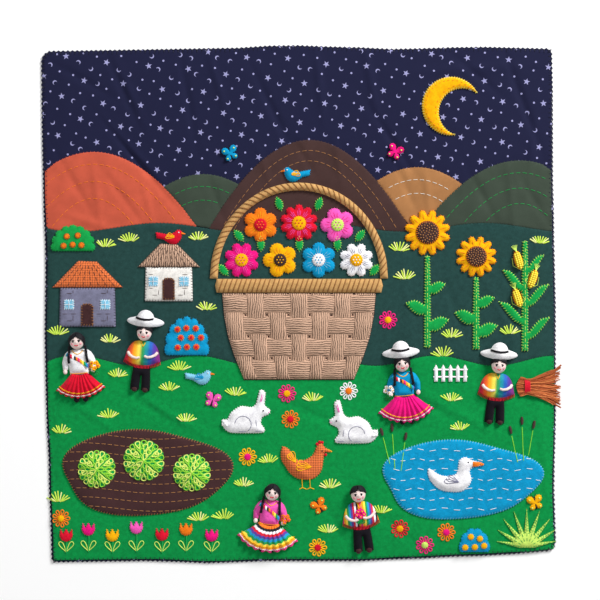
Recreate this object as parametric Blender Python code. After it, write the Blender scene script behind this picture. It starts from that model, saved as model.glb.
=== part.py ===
"""Arpillera textile, about 0.60 m square, lying face up on a flat surface.

A padded square of printed cotton carries felt and cotton panels (hills, a hillside, a meadow),
padded appliques sewn on the panels and small stuffed dolls. Every piece is a closed solid that
follows the soft folds of the cloth below it.
"""

import math

import bmesh
import bpy
from mathutils import Matrix, Vector

# Lengths are millimetres until finish() turns them into metres.
METRES_PER_MM = 0.001

# Thicknesses, from the surface up
CLOTH_THICKNESS = 3.2
HEM_THICKNESS = 2.4
HEM_WIDTH = 30.0
PANEL_THICKNESS = 1.2
FELT_THICKNESS = 1.4
GAP = 0.3

# Heights of the undersides of pieces, above the top of the ground cloth
ON_GROUND = GAP
ON_PANEL = ON_GROUND + PANEL_THICKNESS + GAP
ON_FELT = ON_PANEL + FELT_THICKNESS + GAP

# All cloth bends along the lines of one triangle grid, so that layers stay parallel.
CELL = 36.0
LINE_SNAP = 0.001
SEAT_SAMPLES = 8

# Bare rim between the panels and the cloth's edge, and the slit between two panels
PANEL_INSET = 3.5
SEAM = 0.6
CURVE_STEP = 15.0
PAST_EDGE = 320.0
SMALLEST_STEP = 0.6

# Where the four edges run: (place along the edge, how far out the edge lies)
LEFT_EDGE = ((-290, -290), (-200, -293), (-110, -296.5), (-30, -298), (50, -297),
             (140, -300), (230, -301.5), (290, -302))
RIGHT_EDGE = ((-285, 301), (-210, 299), (-125, 301), (-20, 301), (85, 299),
              (160, 297.5), (245, 297.5), (298, 296.5))
BOTTOM_EDGE = ((-285, -302), (-175, -300.5), (-104, -303), (-34, -300.5), (72, -300.5),
               (125, -298), (195, -295), (265, -292), (295, -289))
TOP_EDGE = ((-290, 297), (-225, 298.5), (-155, 299.5), (-85, 300.5), (-16, 304),
            (54, 302), (107, 299.5), (212, 302), (290, 300))
# Corner radii: bottom left, bottom right, top right, top left
CORNER_RADII = (5.0, 12.0, 6.0, 12.0)

# Soft folds: (x, y, direction in degrees, half length, half width, rise)
FOLDS = (
    (-200, 182, -54, 55, 26, -0.8),
    (-245, 235, 20, 60, 30, 0.5),
    (-62, 235, 82, 60, 30, 0.6),
    (80, 222, 100, 70, 32, -0.6),
    (235, 168, 60, 60, 30, 0.6),
    (-150, 20, 75, 60, 34, 0.5),
    (180, 5, 95, 60, 32, -0.5),
    (-262, -140, 70, 60, 30, 0.7),
    (-20, -262, 4, 90, 28, -0.6),
    (140, -262, -8, 80, 28, 0.6),
    (262, -180, 82, 70, 28, 0.7),
    (-150, -262, 10, 80, 30, 0.5),
    (40, -160, 30, 80, 32, 0.5),
)
RIPPLE_RISE = 0.25
RIPPLE_X = 37.0
RIPPLE_Y = 41.0

# Lines between the panels: (mean height, wave rise, wave length)
HILLSIDE_TOP = (90.0, 5.0, 190.0)
MEADOW_TOP = (-66.0, 6.0, 140.0)

# Rounded hills: (name, centre x, half width, top y, colour, hills in front of it)
HILLS = (
    ("hill_terracotta", -240, 128, 178, "terracotta", ()),
    ("hill_brown", 12, 122, 192, "brown", ()),
    ("hill_olive_right", 258, 122, 168, "olive", ()),
    ("hill_olive_left", -112, 104, 152, "olive", ("hill_terracotta", "hill_brown")),
    ("hill_tan", 138, 108, 160, "tan", ("hill_brown", "hill_olive_right")),
)

# Crescent moon: centre, outer radius, inner radius, offset of the inner circle, tilt
MOON_PLACE = (178, 232)
MOON_RADIUS = 34.0
MOON_HOLLOW = 28.0
MOON_SHIFT = 15.0
MOON_TILT = -28.0

# Houses: (name, left, right, foot, eaves, ridge, roof overhang, ridge inset)
HOUSES = (
    ("house_1", -280, -214, -26, 20, 50, 8, 22),
    ("house_2", -180, -124, 4, 44, 70, 8, 18),
)

# Flower basket
RIM_HALF = 96.0
RIM_LOW = 14.0
RIM_HIGH = 30.0
BASKET_TOP_HALF = 90.0
BASKET_FOOT_HALF = 64.0
BASKET_FOOT = -88.0
BASKET_BELLY = 6.0
BASKET_ROWS = 4
BASKET_COLUMNS = 7
WEAVE_RISE = 0.7
WEAVE_BORDER = 1.6
HANDLE_HALF = 104.0
HANDLE_RISE = 112.0
HANDLE_WIDTH = 9.0
HANDLE_POINTS = 19
HANDLE_FOOT = RIM_HIGH + 0.5

# Flowers in the basket: (x, y, radius, petals, notch, colour)
FLOWERS = (
    (-67, 52, 20.5, 8, 0.26, "magenta"),
    (-22, 52, 20.0, 5, 0.30, "gold"),
    (23, 52, 20.5, 6, 0.28, "blue"),
    (67, 52, 20.0, 8, 0.26, "white"),
    (-45, 93, 20.0, 6, 0.28, "orange"),
    (0, 95, 22.0, 10, 0.24, "red"),
    (45, 93, 20.0, 5, 0.30, "pink"),
)
# Height of a flower over its foot at each share of its radius
FLOWER_RINGS = ((0.88, 2.0), (0.42, 1.7), (0.34, 3.4))

# Sunflowers: (stem foot x, foot y, head y, head radius)
SUNFLOWERS = (
    (150, -50, 84, 27),
    (207, -52, 56, 24),
)
SUN_PETALS = 12
SUN_NOTCH = 0.28
SUN_RINGS = ((0.88, 2.2), (0.56, 1.9), (0.48, 3.8))

# Leaves on a stem: (side, height share, length, half width, lift)
SUNFLOWER_LEAVES = ((1, 0.22, 22, 7, 9), (1, 0.62, 18, 6, 8), (-1, 0.4, 22, 7, 9))
MAIZE_LEAVES = ((1, 0.12, 26, 5, 24), (1, 0.42, 25, 5, 24), (1, 0.72, 19, 4.5, 20),
                (-1, 0.26, 27, 5, 24), (-1, 0.56, 23, 5, 23))
MAIZE_FOOT = (264, -54)
MAIZE_HEIGHT = 128.0
STEM_WIDTH = 7.0

# Meadow patches: (name, x, y, half width, half height, wobble, colour)
PATCHES = (
    ("ploughed_patch", -180, -196, 98, 50, 0.05, "soil"),
    ("pond", 188, -204, 92, 46, 0.06, "blue"),
)

# Cabbages on the ploughed patch: (x, y, radius)
CABBAGES = ((-236, -192, 22), (-181, -182, 24), (-125, -196, 22))
CABBAGE_LEAVES = 8
CABBAGE_NOTCH = 0.16
CABBAGE_RINGS = ((0.96, 2.4), (0.7, 4.6), (0.4, 5.6))

# Agave in the corner: foot, blade length, number of blades
AGAVE_FOOT = (266, -284)
AGAVE_LENGTH = 46.0
AGAVE_BLADES = 9

# Animal outlines, side view, feet at y = 0, head to the right
RABBIT = ((-17, 1), (-8, 0), (5, 0), (14, 0.5), (15, 4), (12, 8), (13, 14), (19, 17), (20, 21),
          (15, 25), (16, 36), (11, 38.5), (8, 27), (3, 23), (-6, 24), (-15, 18), (-18, 12),
          (-23, 12), (-22, 6))
DUCK = ((-12, 3), (-4, 0), (8, 0), (15, 5), (17, 11), (15.5, 17), (18, 21), (25, 22), (24, 25),
        (17, 27), (12, 29.5), (7, 27), (6, 21), (4, 15), (-4, 13), (-12, 15), (-20, 20),
        (-19, 11))
HEN = ((-14, 7), (-6, 2), (6, 2), (13, 8), (15, 15), (16, 22), (17, 26), (23, 26.5), (17, 30),
       (14, 34), (10, 31), (7, 24), (0, 19), (-8, 19), (-14, 27), (-21, 31), (-22, 20), (-18, 13))

# Animals: (name, outline, scale, x, y, faces left, colour, layer it lies on)
ANIMALS = (
    ("rabbit_1", RABBIT, 1.3, -60, -150, False, "white", ON_PANEL),
    ("rabbit_2", RABBIT, 1.3, 62, -162, True, "white", ON_PANEL),
    ("hen", HEN, 1.3, 8, -206, False, "check_orange", ON_PANEL),
    ("duck", DUCK, 1.35, 178, -218, False, "white", ON_FELT),
)
ANIMAL_THICKNESS = 1.6
ANIMAL_PAD = 2.4

# Yarn sheaf at the right edge: tie, locks and how they fan out
SHEAF_PLACE = (263, -96)
SHEAF_TIE = (7.0, 24.0, 4.0)
LOCK_COLUMNS = 8
LOCK_LAYERS = 2
LOCK_LENGTH = 38.0
LOCK_SEGMENTS = 4
LOCK_FAN = 26.0
LOCK_TAPER = 0.86

# Doll pieces, feet at y = 0, lying on its back
HEAD_RADII = (7.4, 8.4, 6.6)
HEAD_CENTRE = 58.9
WAIST = 24.6
NECK = 50.2
TUNIC = ((-6.5, NECK), (-13, 47), (-17, 38), (-16.5, 30), (-11.5, 30), (-10.5, 36), (-9.5, WAIST),
         (9.5, WAIST), (10.5, 36), (11.5, 30), (16.5, 30), (17, 38), (13, 47), (6.5, NECK))
PONCHO = ((-6, NECK), (-12, 47), (-16, 40), (-18.5, 30), (-10, 25.6), (0, WAIST), (10, 25.6),
          (18.5, 30), (16, 40), (12, 47), (6, NECK))
TROUSERS = ((-8.5, WAIST - GAP), (-9.6, 12), (-10, 4), (-10, 0), (-1.2, 0), (-1, 6), (-0.6, 15),
            (0.6, 15), (1, 6), (1.2, 0), (10, 0), (10, 4), (9.6, 12), (8.5, WAIST - GAP))
HAT_BRIM = (19.0, 5.2)
HAT_CROWN = (9.0, 10.0)
HAT_FOOT = 68.2
SKIRT_APEX = 38.0
SKIRT_WAIST_HALF = 9.4
SKIRT_WAIST_RADIUS = SKIRT_APEX - WAIST
SKIRT_PLEATS = 9

# Dolls: (x, y, tilt, top, lower piece, skirt half angle, skirt radius, hat, colours of the
# coat and the lower piece)
DOLLS = (
    (-254, -110, 4, TUNIC, "skirt", 42, 37, False, "white", "red"),
    (-186, -100, -5, PONCHO, "trousers", 0, 0, True, "rainbow", "black"),
    (126, -136, 5, TUNIC, "skirt", 46, 39, True, "blue", "magenta"),
    (228, -138, -4, PONCHO, "trousers", 0, 0, True, "rainbow", "black"),
    (-38, -286, -6, TUNIC, "skirt", 50, 40, False, "pink", "sky_blue"),
    (76, -288, 6, PONCHO, "trousers", 0, 0, False, "rainbow", "black"),
)
DOLL_PAD = 4.2
DOLL_FLAT = 2.0
DOLL_SOFT = 2.6
DOLL_SCALE = 1.15

# Colours (sRGB) and roughness of the cloths
CLOTHS = {
    "night_print": ("#272845", 0.85),
    "terracotta": ("#d05a46", 0.9),
    "olive": ("#434f46", 0.9),
    "tan": ("#b38055", 0.9),
    "brown": ("#4a3635", 0.9),
    "dark_green": ("#2b4a47", 0.9),
    "green": ("#0e8a4a", 0.9),
    "soil": ("#4a2d2b", 0.9),
    "gold": ("#ffb603", 0.9),
    "wall_grey": ("#82829b", 0.9),
    "wall_white": ("#e6e2dc", 0.9),
    "corduroy": ("#bf9273", 0.85),
    "check_orange": ("#df774f", 0.85),
    "straw": ("#c79b62", 0.85),
    "magenta": ("#e8157c", 0.9),
    "pink": ("#f054b8", 0.9),
    "blue": ("#0d96c2", 0.9),
    "sky_blue": ("#8fc8dc", 0.9),
    "white": ("#f0eef4", 0.9),
    "orange": ("#f07a18", 0.9),
    "red": ("#d91f3f", 0.9),
    "lime": ("#c5e86b", 0.9),
    "leaf": ("#16a04a", 0.9),
    "rust_yarn": ("#a8552c", 0.8),
    "rainbow": ("#c8324b", 0.85),
    "black": ("#1e1c24", 0.9),
    "skin": ("#f0d2c0", 0.85),
}


def linear_colour(text):
    """Turn an sRGB hex colour into linear red, green, blue and alpha."""
    shares = [int(text[i:i + 2], 16) / 255 for i in (1, 3, 5)]
    linear = [s / 12.92 if s <= 0.04045 else ((s + 0.055) / 1.055) ** 2.4 for s in shares]
    return (*linear, 1.0)


def smooth_step(share):
    """Ease from 0 to 1 as share goes from 0 to 1."""
    share = min(max(share, 0.0), 1.0)
    return share * share * (3 - 2 * share)


def read_edge(table, place):
    """Read an edge table at a place along the edge, smoothly between its rows."""
    if place <= table[0][0]:
        return table[0][1]
    for (start, low), (end, high) in zip(table, table[1:]):
        if place <= end:
            return low + (high - low) * smooth_step((place - start) / (end - start))
    return table[-1][1]


def wave(line, x):
    """Height of a wavy seam line at x."""
    mean, rise, length = line
    return mean + rise * math.sin(math.tau * x / length + 0.7)


def smooth_height(x, y):
    """Height of the top of the ground cloth, with its folds, ripple and thinner hem."""
    total = CLOTH_THICKNESS + RIPPLE_RISE * math.sin(x / RIPPLE_X + 1) * math.sin(y / RIPPLE_Y)
    for fold_x, fold_y, direction, half_length, half_width, rise in FOLDS:
        turn = math.radians(direction)
        dx = x - fold_x
        dy = y - fold_y
        along = (dx * math.cos(turn) + dy * math.sin(turn)) / half_length
        across = (dy * math.cos(turn) - dx * math.sin(turn)) / half_width
        total += rise * math.exp(-along * along - across * across)
    half = 300.0
    hem = smooth_step((max(abs(x), abs(y)) - half + HEM_WIDTH) / HEM_WIDTH)
    return total + (HEM_THICKNESS - total) * hem


def lie(x, y):
    """Height of the ground cloth read from the corners of its triangle grid."""
    column = math.floor(x / CELL)
    row = math.floor(y / CELL)
    u = x / CELL - column
    v = y / CELL - row
    low_right = smooth_height((column + 1) * CELL, row * CELL)
    high_left = smooth_height(column * CELL, (row + 1) * CELL)
    if u + v <= 1:
        corner = smooth_height(column * CELL, row * CELL)
        return corner + u * (low_right - corner) + v * (high_left - corner)
    corner = smooth_height((column + 1) * CELL, (row + 1) * CELL)
    return corner + (1 - u) * (high_left - corner) + (1 - v) * (low_right - corner)


def turned(points, x, y, degrees=0.0, mirror=False):
    """Mirror, turn and move outline points."""
    turn = math.radians(degrees)
    result = []
    for px, py in points:
        px = -px if mirror else px
        result.append((x + px * math.cos(turn) - py * math.sin(turn),
                       y + px * math.sin(turn) + py * math.cos(turn)))
    return result[::-1] if mirror else result


def thinned(points):
    """Drop points that lie on top of the one before them."""
    kept = []
    for point in points:
        if not kept or math.dist(point, kept[-1]) > SMALLEST_STEP:
            kept.append(point)
    if math.dist(kept[0], kept[-1]) <= SMALLEST_STEP:
        kept.pop()
    return kept


def spline(points, steps=2):
    """Closed smooth curve through the points."""
    curve = []
    count = len(points)
    for i in range(count):
        p0, p1, p2, p3 = (Vector(points[(i + k) % count]) for k in (-1, 0, 1, 2))
        for step in range(steps):
            t = step / steps
            spot = 0.5 * (2 * p1 + (p2 - p0) * t + (2 * p0 - 5 * p1 + 4 * p2 - p3) * t * t
                          + (3 * p1 - p0 - 3 * p2 + p3) * t ** 3)
            curve.append((spot.x, spot.y))
    return curve


def arc(x, y, radius_x, radius_y, start, end, count):
    """Points on an elliptic arc from one angle to another, in degrees."""
    angles = [math.radians(start + (end - start) * i / (count - 1)) for i in range(count)]
    return [(x + radius_x * math.cos(a), y + radius_y * math.sin(a)) for a in angles]


def wobbly_oval(x, y, radius_x, radius_y, wobble, count=32):
    """Oval whose radius swells and shrinks a little."""
    points = []
    for i in range(count):
        angle = math.tau * i / count
        share = 1 + wobble * math.sin(3 * angle + 1) + 0.5 * wobble * math.sin(5 * angle)
        points.append((x + radius_x * share * math.cos(angle),
                       y + radius_y * share * math.sin(angle)))
    return points


def petal_outline(x, y, radius, petals, notch, steps=4):
    """Round petals that meet in notches."""
    points = []
    for i in range(petals * steps):
        angle = math.tau * i / (petals * steps)
        swell = abs(math.sin(petals * angle / 2)) ** 0.6
        reach = radius * (1 - notch + notch * swell)
        points.append((x + reach * math.cos(angle), y + reach * math.sin(angle)))
    return points


def leafy_outline(x, foot, height, leaves):
    """Upright stem with leaves on both sides."""
    half = STEM_WIDTH / 2
    right = [(x + half, foot)]
    left = [(x - half, foot)]
    for side, share, length, half_width, lift in leaves:
        chain = right if side > 0 else left
        root = foot + share * height
        edge = x + side * half
        chain += [
            (edge, root - half_width * 0.6),
            (edge + side * length * 0.3, root + lift * 0.25 - half_width),
            (edge + side * length * 0.7, root + lift * 0.7 - half_width * 0.8),
            (edge + side * length, root + lift),
            (edge + side * length * 0.6, root + lift * 0.75 + half_width * 0.8),
            (edge + side * length * 0.25, root + lift * 0.35 + half_width),
            (edge, root + half_width),
        ]
    right.append((x + half * 0.7, foot + height))
    left.append((x - half * 0.7, foot + height))
    return right + left[::-1]


def keep_on_cloth(points):
    """Pull points that lie past the bare rim back to it."""
    kept = []
    for x, y in points:
        x = min(max(x, read_edge(LEFT_EDGE, y) + PANEL_INSET),
                read_edge(RIGHT_EDGE, y) - PANEL_INSET)
        y = min(max(y, read_edge(BOTTOM_EDGE, x) + PANEL_INSET),
                read_edge(TOP_EDGE, x) - PANEL_INSET)
        kept.append((x, y))
    return thinned(kept)


def strip_outline(upper, lower, start, end):
    """Outline between two curves, with points down both ends."""
    first = math.floor(start / CURVE_STEP) + 1
    last = math.ceil(end / CURVE_STEP) - 1
    places = [start] + [i * CURVE_STEP for i in range(first, last + 1)] + [end]
    sides = max(1, round((upper(end) - lower(end)) / CURVE_STEP))
    right = [(end, lower(end) + (upper(end) - lower(end)) * i / sides) for i in range(1, sides)]
    sides = max(1, round((upper(start) - lower(start)) / CURVE_STEP))
    left = [(start, upper(start) - (upper(start) - lower(start)) * i / sides)
            for i in range(1, sides)]
    below = [(x, lower(x)) for x in places]
    above = [(x, upper(x)) for x in reversed(places)]
    return keep_on_cloth(below + right + above + left)


def cut(bm, point, normal):
    """Cut every face along a plane and keep both sides."""
    geometry = bm.verts[:] + bm.edges[:] + bm.faces[:]
    bmesh.ops.bisect_plane(bm, geom=geometry, dist=LINE_SNAP, plane_co=point, plane_no=normal)


def cut_on_grid(bm):
    """Cut a piece along the lines of the triangle grid."""
    for normal in (Vector((1, 0, 0)), Vector((0, 1, 0)), Vector((1, 1, 0))):
        places = [v.co.dot(normal) for v in bm.verts]
        first = math.ceil(min(places) / CELL)
        last = math.floor(max(places) / CELL)
        for line in range(first, last + 1):
            point = normal * (line * CELL / normal.length_squared)
            cut(bm, point, normal)


def flat_face(outline, height):
    """Start a mesh with one flat face."""
    bm = bmesh.new()
    bm.faces.new([bm.verts.new((x, y, height)) for x, y in outline])
    return bm


def raise_faces(bm, faces, rise, keep_below=True):
    """Extrude faces straight up and return the new top faces."""
    made = bmesh.ops.extrude_face_region(bm, geom=faces)["geom"]
    verts = [g for g in made if isinstance(g, bmesh.types.BMVert)]
    bmesh.ops.translate(bm, vec=(0, 0, rise), verts=verts)
    if not keep_below:
        bmesh.ops.delete(bm, geom=faces, context="FACES_ONLY")
    return [g for g in made if isinstance(g, bmesh.types.BMFace)]


def felt(outline, base, thickness=FELT_THICKNESS, pad=0.0, soft=0.0):
    """Flat piece of cloth, or a padded one whose top rises inside a soft rim."""
    bm = flat_face(outline, base)
    top = raise_faces(bm, bm.faces[:], thickness)
    if pad:
        bmesh.ops.inset_region(bm, faces=top, thickness=soft, depth=0.0,
                               use_even_offset=True, use_boundary=True)
        bmesh.ops.translate(bm, vec=(0, 0, pad), verts=list({v for f in top for v in f.verts}))
    return bm


def mound(outline, x, y, base, rings):
    """Piece that rises in rings, each the outline at a share of its size and a height."""
    bm = flat_face(outline, base)
    top = raise_faces(bm, bm.faces[:], rings[0][1] * 0.6)
    height = rings[0][1] * 0.6
    scale = 1.0
    for share, level in rings:
        top = raise_faces(bm, top, level - height, keep_below=False)
        verts = list({v for f in top for v in f.verts})
        ratio = share / scale
        bmesh.ops.scale(bm, vec=(ratio, ratio, 1), verts=verts,
                        space=Matrix.Translation((-x, -y, 0)))
        scale = share
        height = level
    return bm


def merge_flat_underside(bm):
    """Join the faces at height zero into one."""
    flat = [f for f in bm.faces if all(abs(v.co.z) < LINE_SNAP for v in f.verts)]
    edges = [e for e in {e for f in flat for e in f.edges} if all(f in flat for f in e.link_faces)]
    bmesh.ops.dissolve_edges(bm, edges=edges, use_verts=True)


def lay_flat(bm):
    """Leave a piece at the height it was made at."""


def drape(bm):
    """Bend a piece over the folds of the ground cloth."""
    cut_on_grid(bm)
    for vert in bm.verts:
        vert.co.z += lie(vert.co.x, vert.co.y)


def seat(bm):
    """Lift a stiff piece level until it clears the highest point of the cloth below it."""
    low_x = min(v.co.x for v in bm.verts)
    high_x = max(v.co.x for v in bm.verts)
    low_y = min(v.co.y for v in bm.verts)
    high_y = max(v.co.y for v in bm.verts)
    shares = [i / SEAT_SAMPLES for i in range(SEAT_SAMPLES + 1)]
    highest = max(lie(low_x + (high_x - low_x) * u, low_y + (high_y - low_y) * v)
                  for u in shares for v in shares)
    bmesh.ops.translate(bm, vec=(0, 0, highest), verts=bm.verts[:])


def finish(name, bm, cloth, settle=drape):
    """Settle a piece on the ground cloth and make it an object in metres."""
    settle(bm)
    bmesh.ops.recalc_face_normals(bm, faces=bm.faces[:])
    bmesh.ops.scale(bm, vec=(METRES_PER_MM,) * 3, verts=bm.verts[:])
    mesh = bpy.data.meshes.new(name)
    bm.to_mesh(mesh)
    bm.free()
    mesh.shade_smooth()
    mesh.set_sharp_from_angle(angle=math.radians(45))
    mesh.materials.append(cloth_material(cloth))
    piece = bpy.data.objects.new(name, mesh)
    bpy.context.scene.collection.objects.link(piece)
    return piece


def cloth_material(cloth):
    """Material of one cloth, made once and shared."""
    if cloth in bpy.data.materials:
        return bpy.data.materials[cloth]
    colour, roughness = CLOTHS[cloth]
    material = bpy.data.materials.new(cloth)
    material.use_nodes = True
    shader = material.node_tree.nodes["Principled BSDF"]
    shader.inputs["Base Color"].default_value = linear_colour(colour)
    shader.inputs["Roughness"].default_value = roughness
    shader.inputs["Metallic"].default_value = 0.0
    return material


def cloth_outline():
    """Edge of the ground cloth, anticlockwise from the bottom left corner."""
    corners = (
        (read_edge(LEFT_EDGE, -300), read_edge(BOTTOM_EDGE, -300), 180),
        (read_edge(RIGHT_EDGE, -300), read_edge(BOTTOM_EDGE, 300), 270),
        (read_edge(RIGHT_EDGE, 300), read_edge(TOP_EDGE, 300), 0),
        (read_edge(LEFT_EDGE, 300), read_edge(TOP_EDGE, -300), 90),
    )
    inward = ((1, 1), (-1, 1), (-1, -1), (1, -1))
    round_corners = []
    for (x, y, start), radius, (sx, sy) in zip(corners, CORNER_RADII, inward):
        round_corners.append(arc(x + sx * radius, y + sy * radius, radius, radius,
                                 start, start + 90, 5))
    places = [i * CELL for i in range(-7, 8)]
    bottom = [(x, read_edge(BOTTOM_EDGE, x)) for x in places]
    right = [(read_edge(RIGHT_EDGE, y), y) for y in places]
    top = [(x, read_edge(TOP_EDGE, x)) for x in reversed(places)]
    left = [(read_edge(LEFT_EDGE, y), y) for y in reversed(places)]
    return (round_corners[0] + bottom + round_corners[1] + right + round_corners[2] + top
            + round_corners[3] + left)


def build_ground():
    """Ground cloth with a flat underside and softly folded top."""
    bm = flat_face(cloth_outline(), 0.0)
    cut_on_grid(bm)
    top = raise_faces(bm, bm.faces[:], 0.0)
    for vert in {v for f in top for v in f.verts}:
        vert.co.z = lie(vert.co.x, vert.co.y)
    merge_flat_underside(bm)
    finish("ground_cloth", bm, "night_print", lay_flat)


def hill_line(centre, half_width, top):
    """Height of a rounded hill at x; far below the hillside where the hill has ended."""
    foot = HILLSIDE_TOP[0] - 12

    def line(x):
        share = (x - centre) / half_width
        if abs(share) >= 1:
            return foot - 100
        return foot + (top - foot) * math.cos(share * math.pi / 2) ** 0.85
    return line


def build_hills():
    """Hills side by side, the back ones cut out along the front ones."""
    lines = {name: hill_line(x, half, top) for name, x, half, top, _, _ in HILLS}
    for name, centre, half_width, _, cloth, in_front in HILLS:
        lowest = [lines[other] for other in in_front]

        def lower(x, lowest=lowest):
            return max([wave(HILLSIDE_TOP, x)] + [line(x) for line in lowest]) + SEAM

        upper = lines[name]
        places = [centre + half_width * i / 200 for i in range(-200, 201)]
        shown = [x for x in places if upper(x) - lower(x) > SEAM and abs(x) <= PAST_EDGE]
        outline = strip_outline(upper, lower, shown[0], shown[-1])
        finish(name, felt(outline, ON_GROUND, PANEL_THICKNESS), cloth)


def build_hillside_and_meadow():
    """The two wide panels below the hills."""
    hillside = strip_outline(lambda x: wave(HILLSIDE_TOP, x),
                             lambda x: wave(MEADOW_TOP, x) + SEAM,
                             -PAST_EDGE, PAST_EDGE)
    finish("hillside", felt(hillside, ON_GROUND, PANEL_THICKNESS), "dark_green")
    meadow = strip_outline(lambda x: wave(MEADOW_TOP, x), lambda x: -PAST_EDGE,
                           -PAST_EDGE, PAST_EDGE)
    finish("meadow", felt(meadow, ON_GROUND, PANEL_THICKNESS), "green")


def build_moon():
    """Padded crescent moon on the night sky."""
    outer_x = (MOON_RADIUS ** 2 - MOON_HOLLOW ** 2 + MOON_SHIFT ** 2) / (2 * MOON_SHIFT)
    outer_angle = math.degrees(math.acos(outer_x / MOON_RADIUS))
    inner_angle = math.degrees(math.acos((outer_x - MOON_SHIFT) / MOON_HOLLOW))
    outer = arc(0, 0, MOON_RADIUS, MOON_RADIUS, outer_angle, 360 - outer_angle, 25)
    inner = arc(MOON_SHIFT, 0, MOON_HOLLOW, MOON_HOLLOW, 360 - inner_angle, inner_angle, 19)
    outline = turned(outer + inner[1:-1], *MOON_PLACE, MOON_TILT)
    finish("moon", felt(outline, ON_GROUND, pad=1.6, soft=1.5), "gold")


def build_houses():
    """Walls and sloping roofs."""
    walls_cloth = {"house_1": "wall_grey", "house_2": "wall_white"}
    roof_cloth = {"house_1": "check_orange", "house_2": "corduroy"}
    for name, left, right, foot, eaves, ridge, overhang, ridge_inset in HOUSES:
        walls = [(left, foot), (right, foot), (right - 1, eaves - SEAM), (left + 1, eaves - SEAM)]
        finish(name + "_walls", felt(walls, ON_PANEL, pad=1.2, soft=1.5), walls_cloth[name])
        roof = [(left - overhang, eaves), (right + overhang, eaves),
                (right - ridge_inset, ridge), (left + ridge_inset, ridge + 1)]
        finish(name + "_roof", felt(roof, ON_PANEL, pad=1.6, soft=1.5), roof_cloth[name])


def basket_half_width(y):
    """Half width of the basket's body at height y."""
    share = (y - BASKET_FOOT) / (RIM_LOW - SEAM - BASKET_FOOT)
    straight = BASKET_FOOT_HALF + (BASKET_TOP_HALF - BASKET_FOOT_HALF) * share
    return straight + BASKET_BELLY * math.sin(math.pi * share)


def build_basket():
    """Basket body in over and under squares, its rim and its arched handle."""
    top = RIM_LOW - SEAM
    rows = [BASKET_FOOT + (top - BASKET_FOOT) * i / BASKET_ROWS for i in range(BASKET_ROWS + 1)]
    right = [(basket_half_width(y), y) for y in rows]
    left = [(-basket_half_width(y), y) for y in reversed(rows)]
    bm = flat_face(right + left, ON_PANEL)
    for y in rows[1:-1]:
        cut(bm, (0, y, 0), (0, 1, 0))
    for column in range(1, BASKET_COLUMNS):
        share = 2 * column / BASKET_COLUMNS - 1
        foot = Vector((share * BASKET_FOOT_HALF, BASKET_FOOT, 0))
        head = Vector((share * BASKET_TOP_HALF, top, 0))
        along = head - foot
        cut(bm, foot, (along.y, -along.x, 0))
    raised = raise_faces(bm, bm.faces[:], FELT_THICKNESS)
    over = []
    for face in raised:
        centre = face.calc_center_median()
        row = math.floor((centre.y - BASKET_FOOT) / (top - BASKET_FOOT) * BASKET_ROWS)
        share = (centre.y - BASKET_FOOT) / (top - BASKET_FOOT)
        half = BASKET_FOOT_HALF + (BASKET_TOP_HALF - BASKET_FOOT_HALF) * share
        column = math.floor((centre.x / half + 1) / 2 * BASKET_COLUMNS)
        if (row + column) % 2 == 0:
            over.append(face)
    bmesh.ops.inset_individual(bm, faces=over, thickness=WEAVE_BORDER, depth=WEAVE_RISE)
    finish("basket", bm, "corduroy")

    rim = [(-RIM_HALF, RIM_LOW), (RIM_HALF, RIM_LOW), (RIM_HALF + 2, (RIM_LOW + RIM_HIGH) / 2),
           (RIM_HALF, RIM_HIGH), (-RIM_HALF, RIM_HIGH), (-RIM_HALF - 2, (RIM_LOW + RIM_HIGH) / 2)]
    finish("basket_rim", felt(rim, ON_PANEL, pad=2.4, soft=2.0), "straw")

    outer = arc(0, HANDLE_FOOT, HANDLE_HALF, HANDLE_RISE, 0, 180, HANDLE_POINTS)
    inner = arc(0, HANDLE_FOOT, HANDLE_HALF - HANDLE_WIDTH, HANDLE_RISE - HANDLE_WIDTH,
                180, 0, HANDLE_POINTS)
    finish("basket_handle", felt(outer + inner, ON_PANEL, pad=2.0, soft=2.0), "straw")


def build_flowers():
    """Flowers of several kinds above the basket's rim, each with a raised heart."""
    for number, (x, y, radius, petals, notch, cloth) in enumerate(FLOWERS, 1):
        steps = 6 if petals < 7 else 4
        outline = petal_outline(x, y, radius, petals, notch, steps)
        finish(f"flower_{number}", mound(outline, x, y, ON_PANEL, FLOWER_RINGS), cloth, seat)


def build_sunflowers():
    """Tall sunflowers on leafy stems."""
    for number, (x, foot, head_y, radius) in enumerate(SUNFLOWERS, 1):
        height = head_y - radius - GAP - foot
        stem = leafy_outline(x, foot, height, SUNFLOWER_LEAVES)
        finish(f"sunflower_{number}_stem", felt(stem, ON_PANEL, pad=1.0, soft=1.0), "leaf")
        outline = petal_outline(x, head_y, radius, SUN_PETALS, SUN_NOTCH)
        head = mound(outline, x, head_y, ON_PANEL, SUN_RINGS)
        finish(f"sunflower_{number}_head", head, "gold", seat)


def build_maize():
    """Maize plant with long lifted leaves."""
    outline = leafy_outline(*MAIZE_FOOT, MAIZE_HEIGHT, MAIZE_LEAVES)
    finish("maize", felt(outline, ON_PANEL, pad=1.0, soft=1.0), "leaf")


def build_patches():
    """Ploughed patch and pond, flat on the meadow, and the cabbages on the patch."""
    for name, x, y, radius_x, radius_y, wobble, cloth in PATCHES:
        finish(name, felt(wobbly_oval(x, y, radius_x, radius_y, wobble), ON_PANEL), cloth)
    for number, (x, y, radius) in enumerate(CABBAGES, 1):
        outline = petal_outline(x, y, radius, CABBAGE_LEAVES, CABBAGE_NOTCH)
        cabbage = mound(outline, x, y, ON_FELT, CABBAGE_RINGS)
        finish(f"cabbage_{number}", cabbage, "lime", seat)


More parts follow.
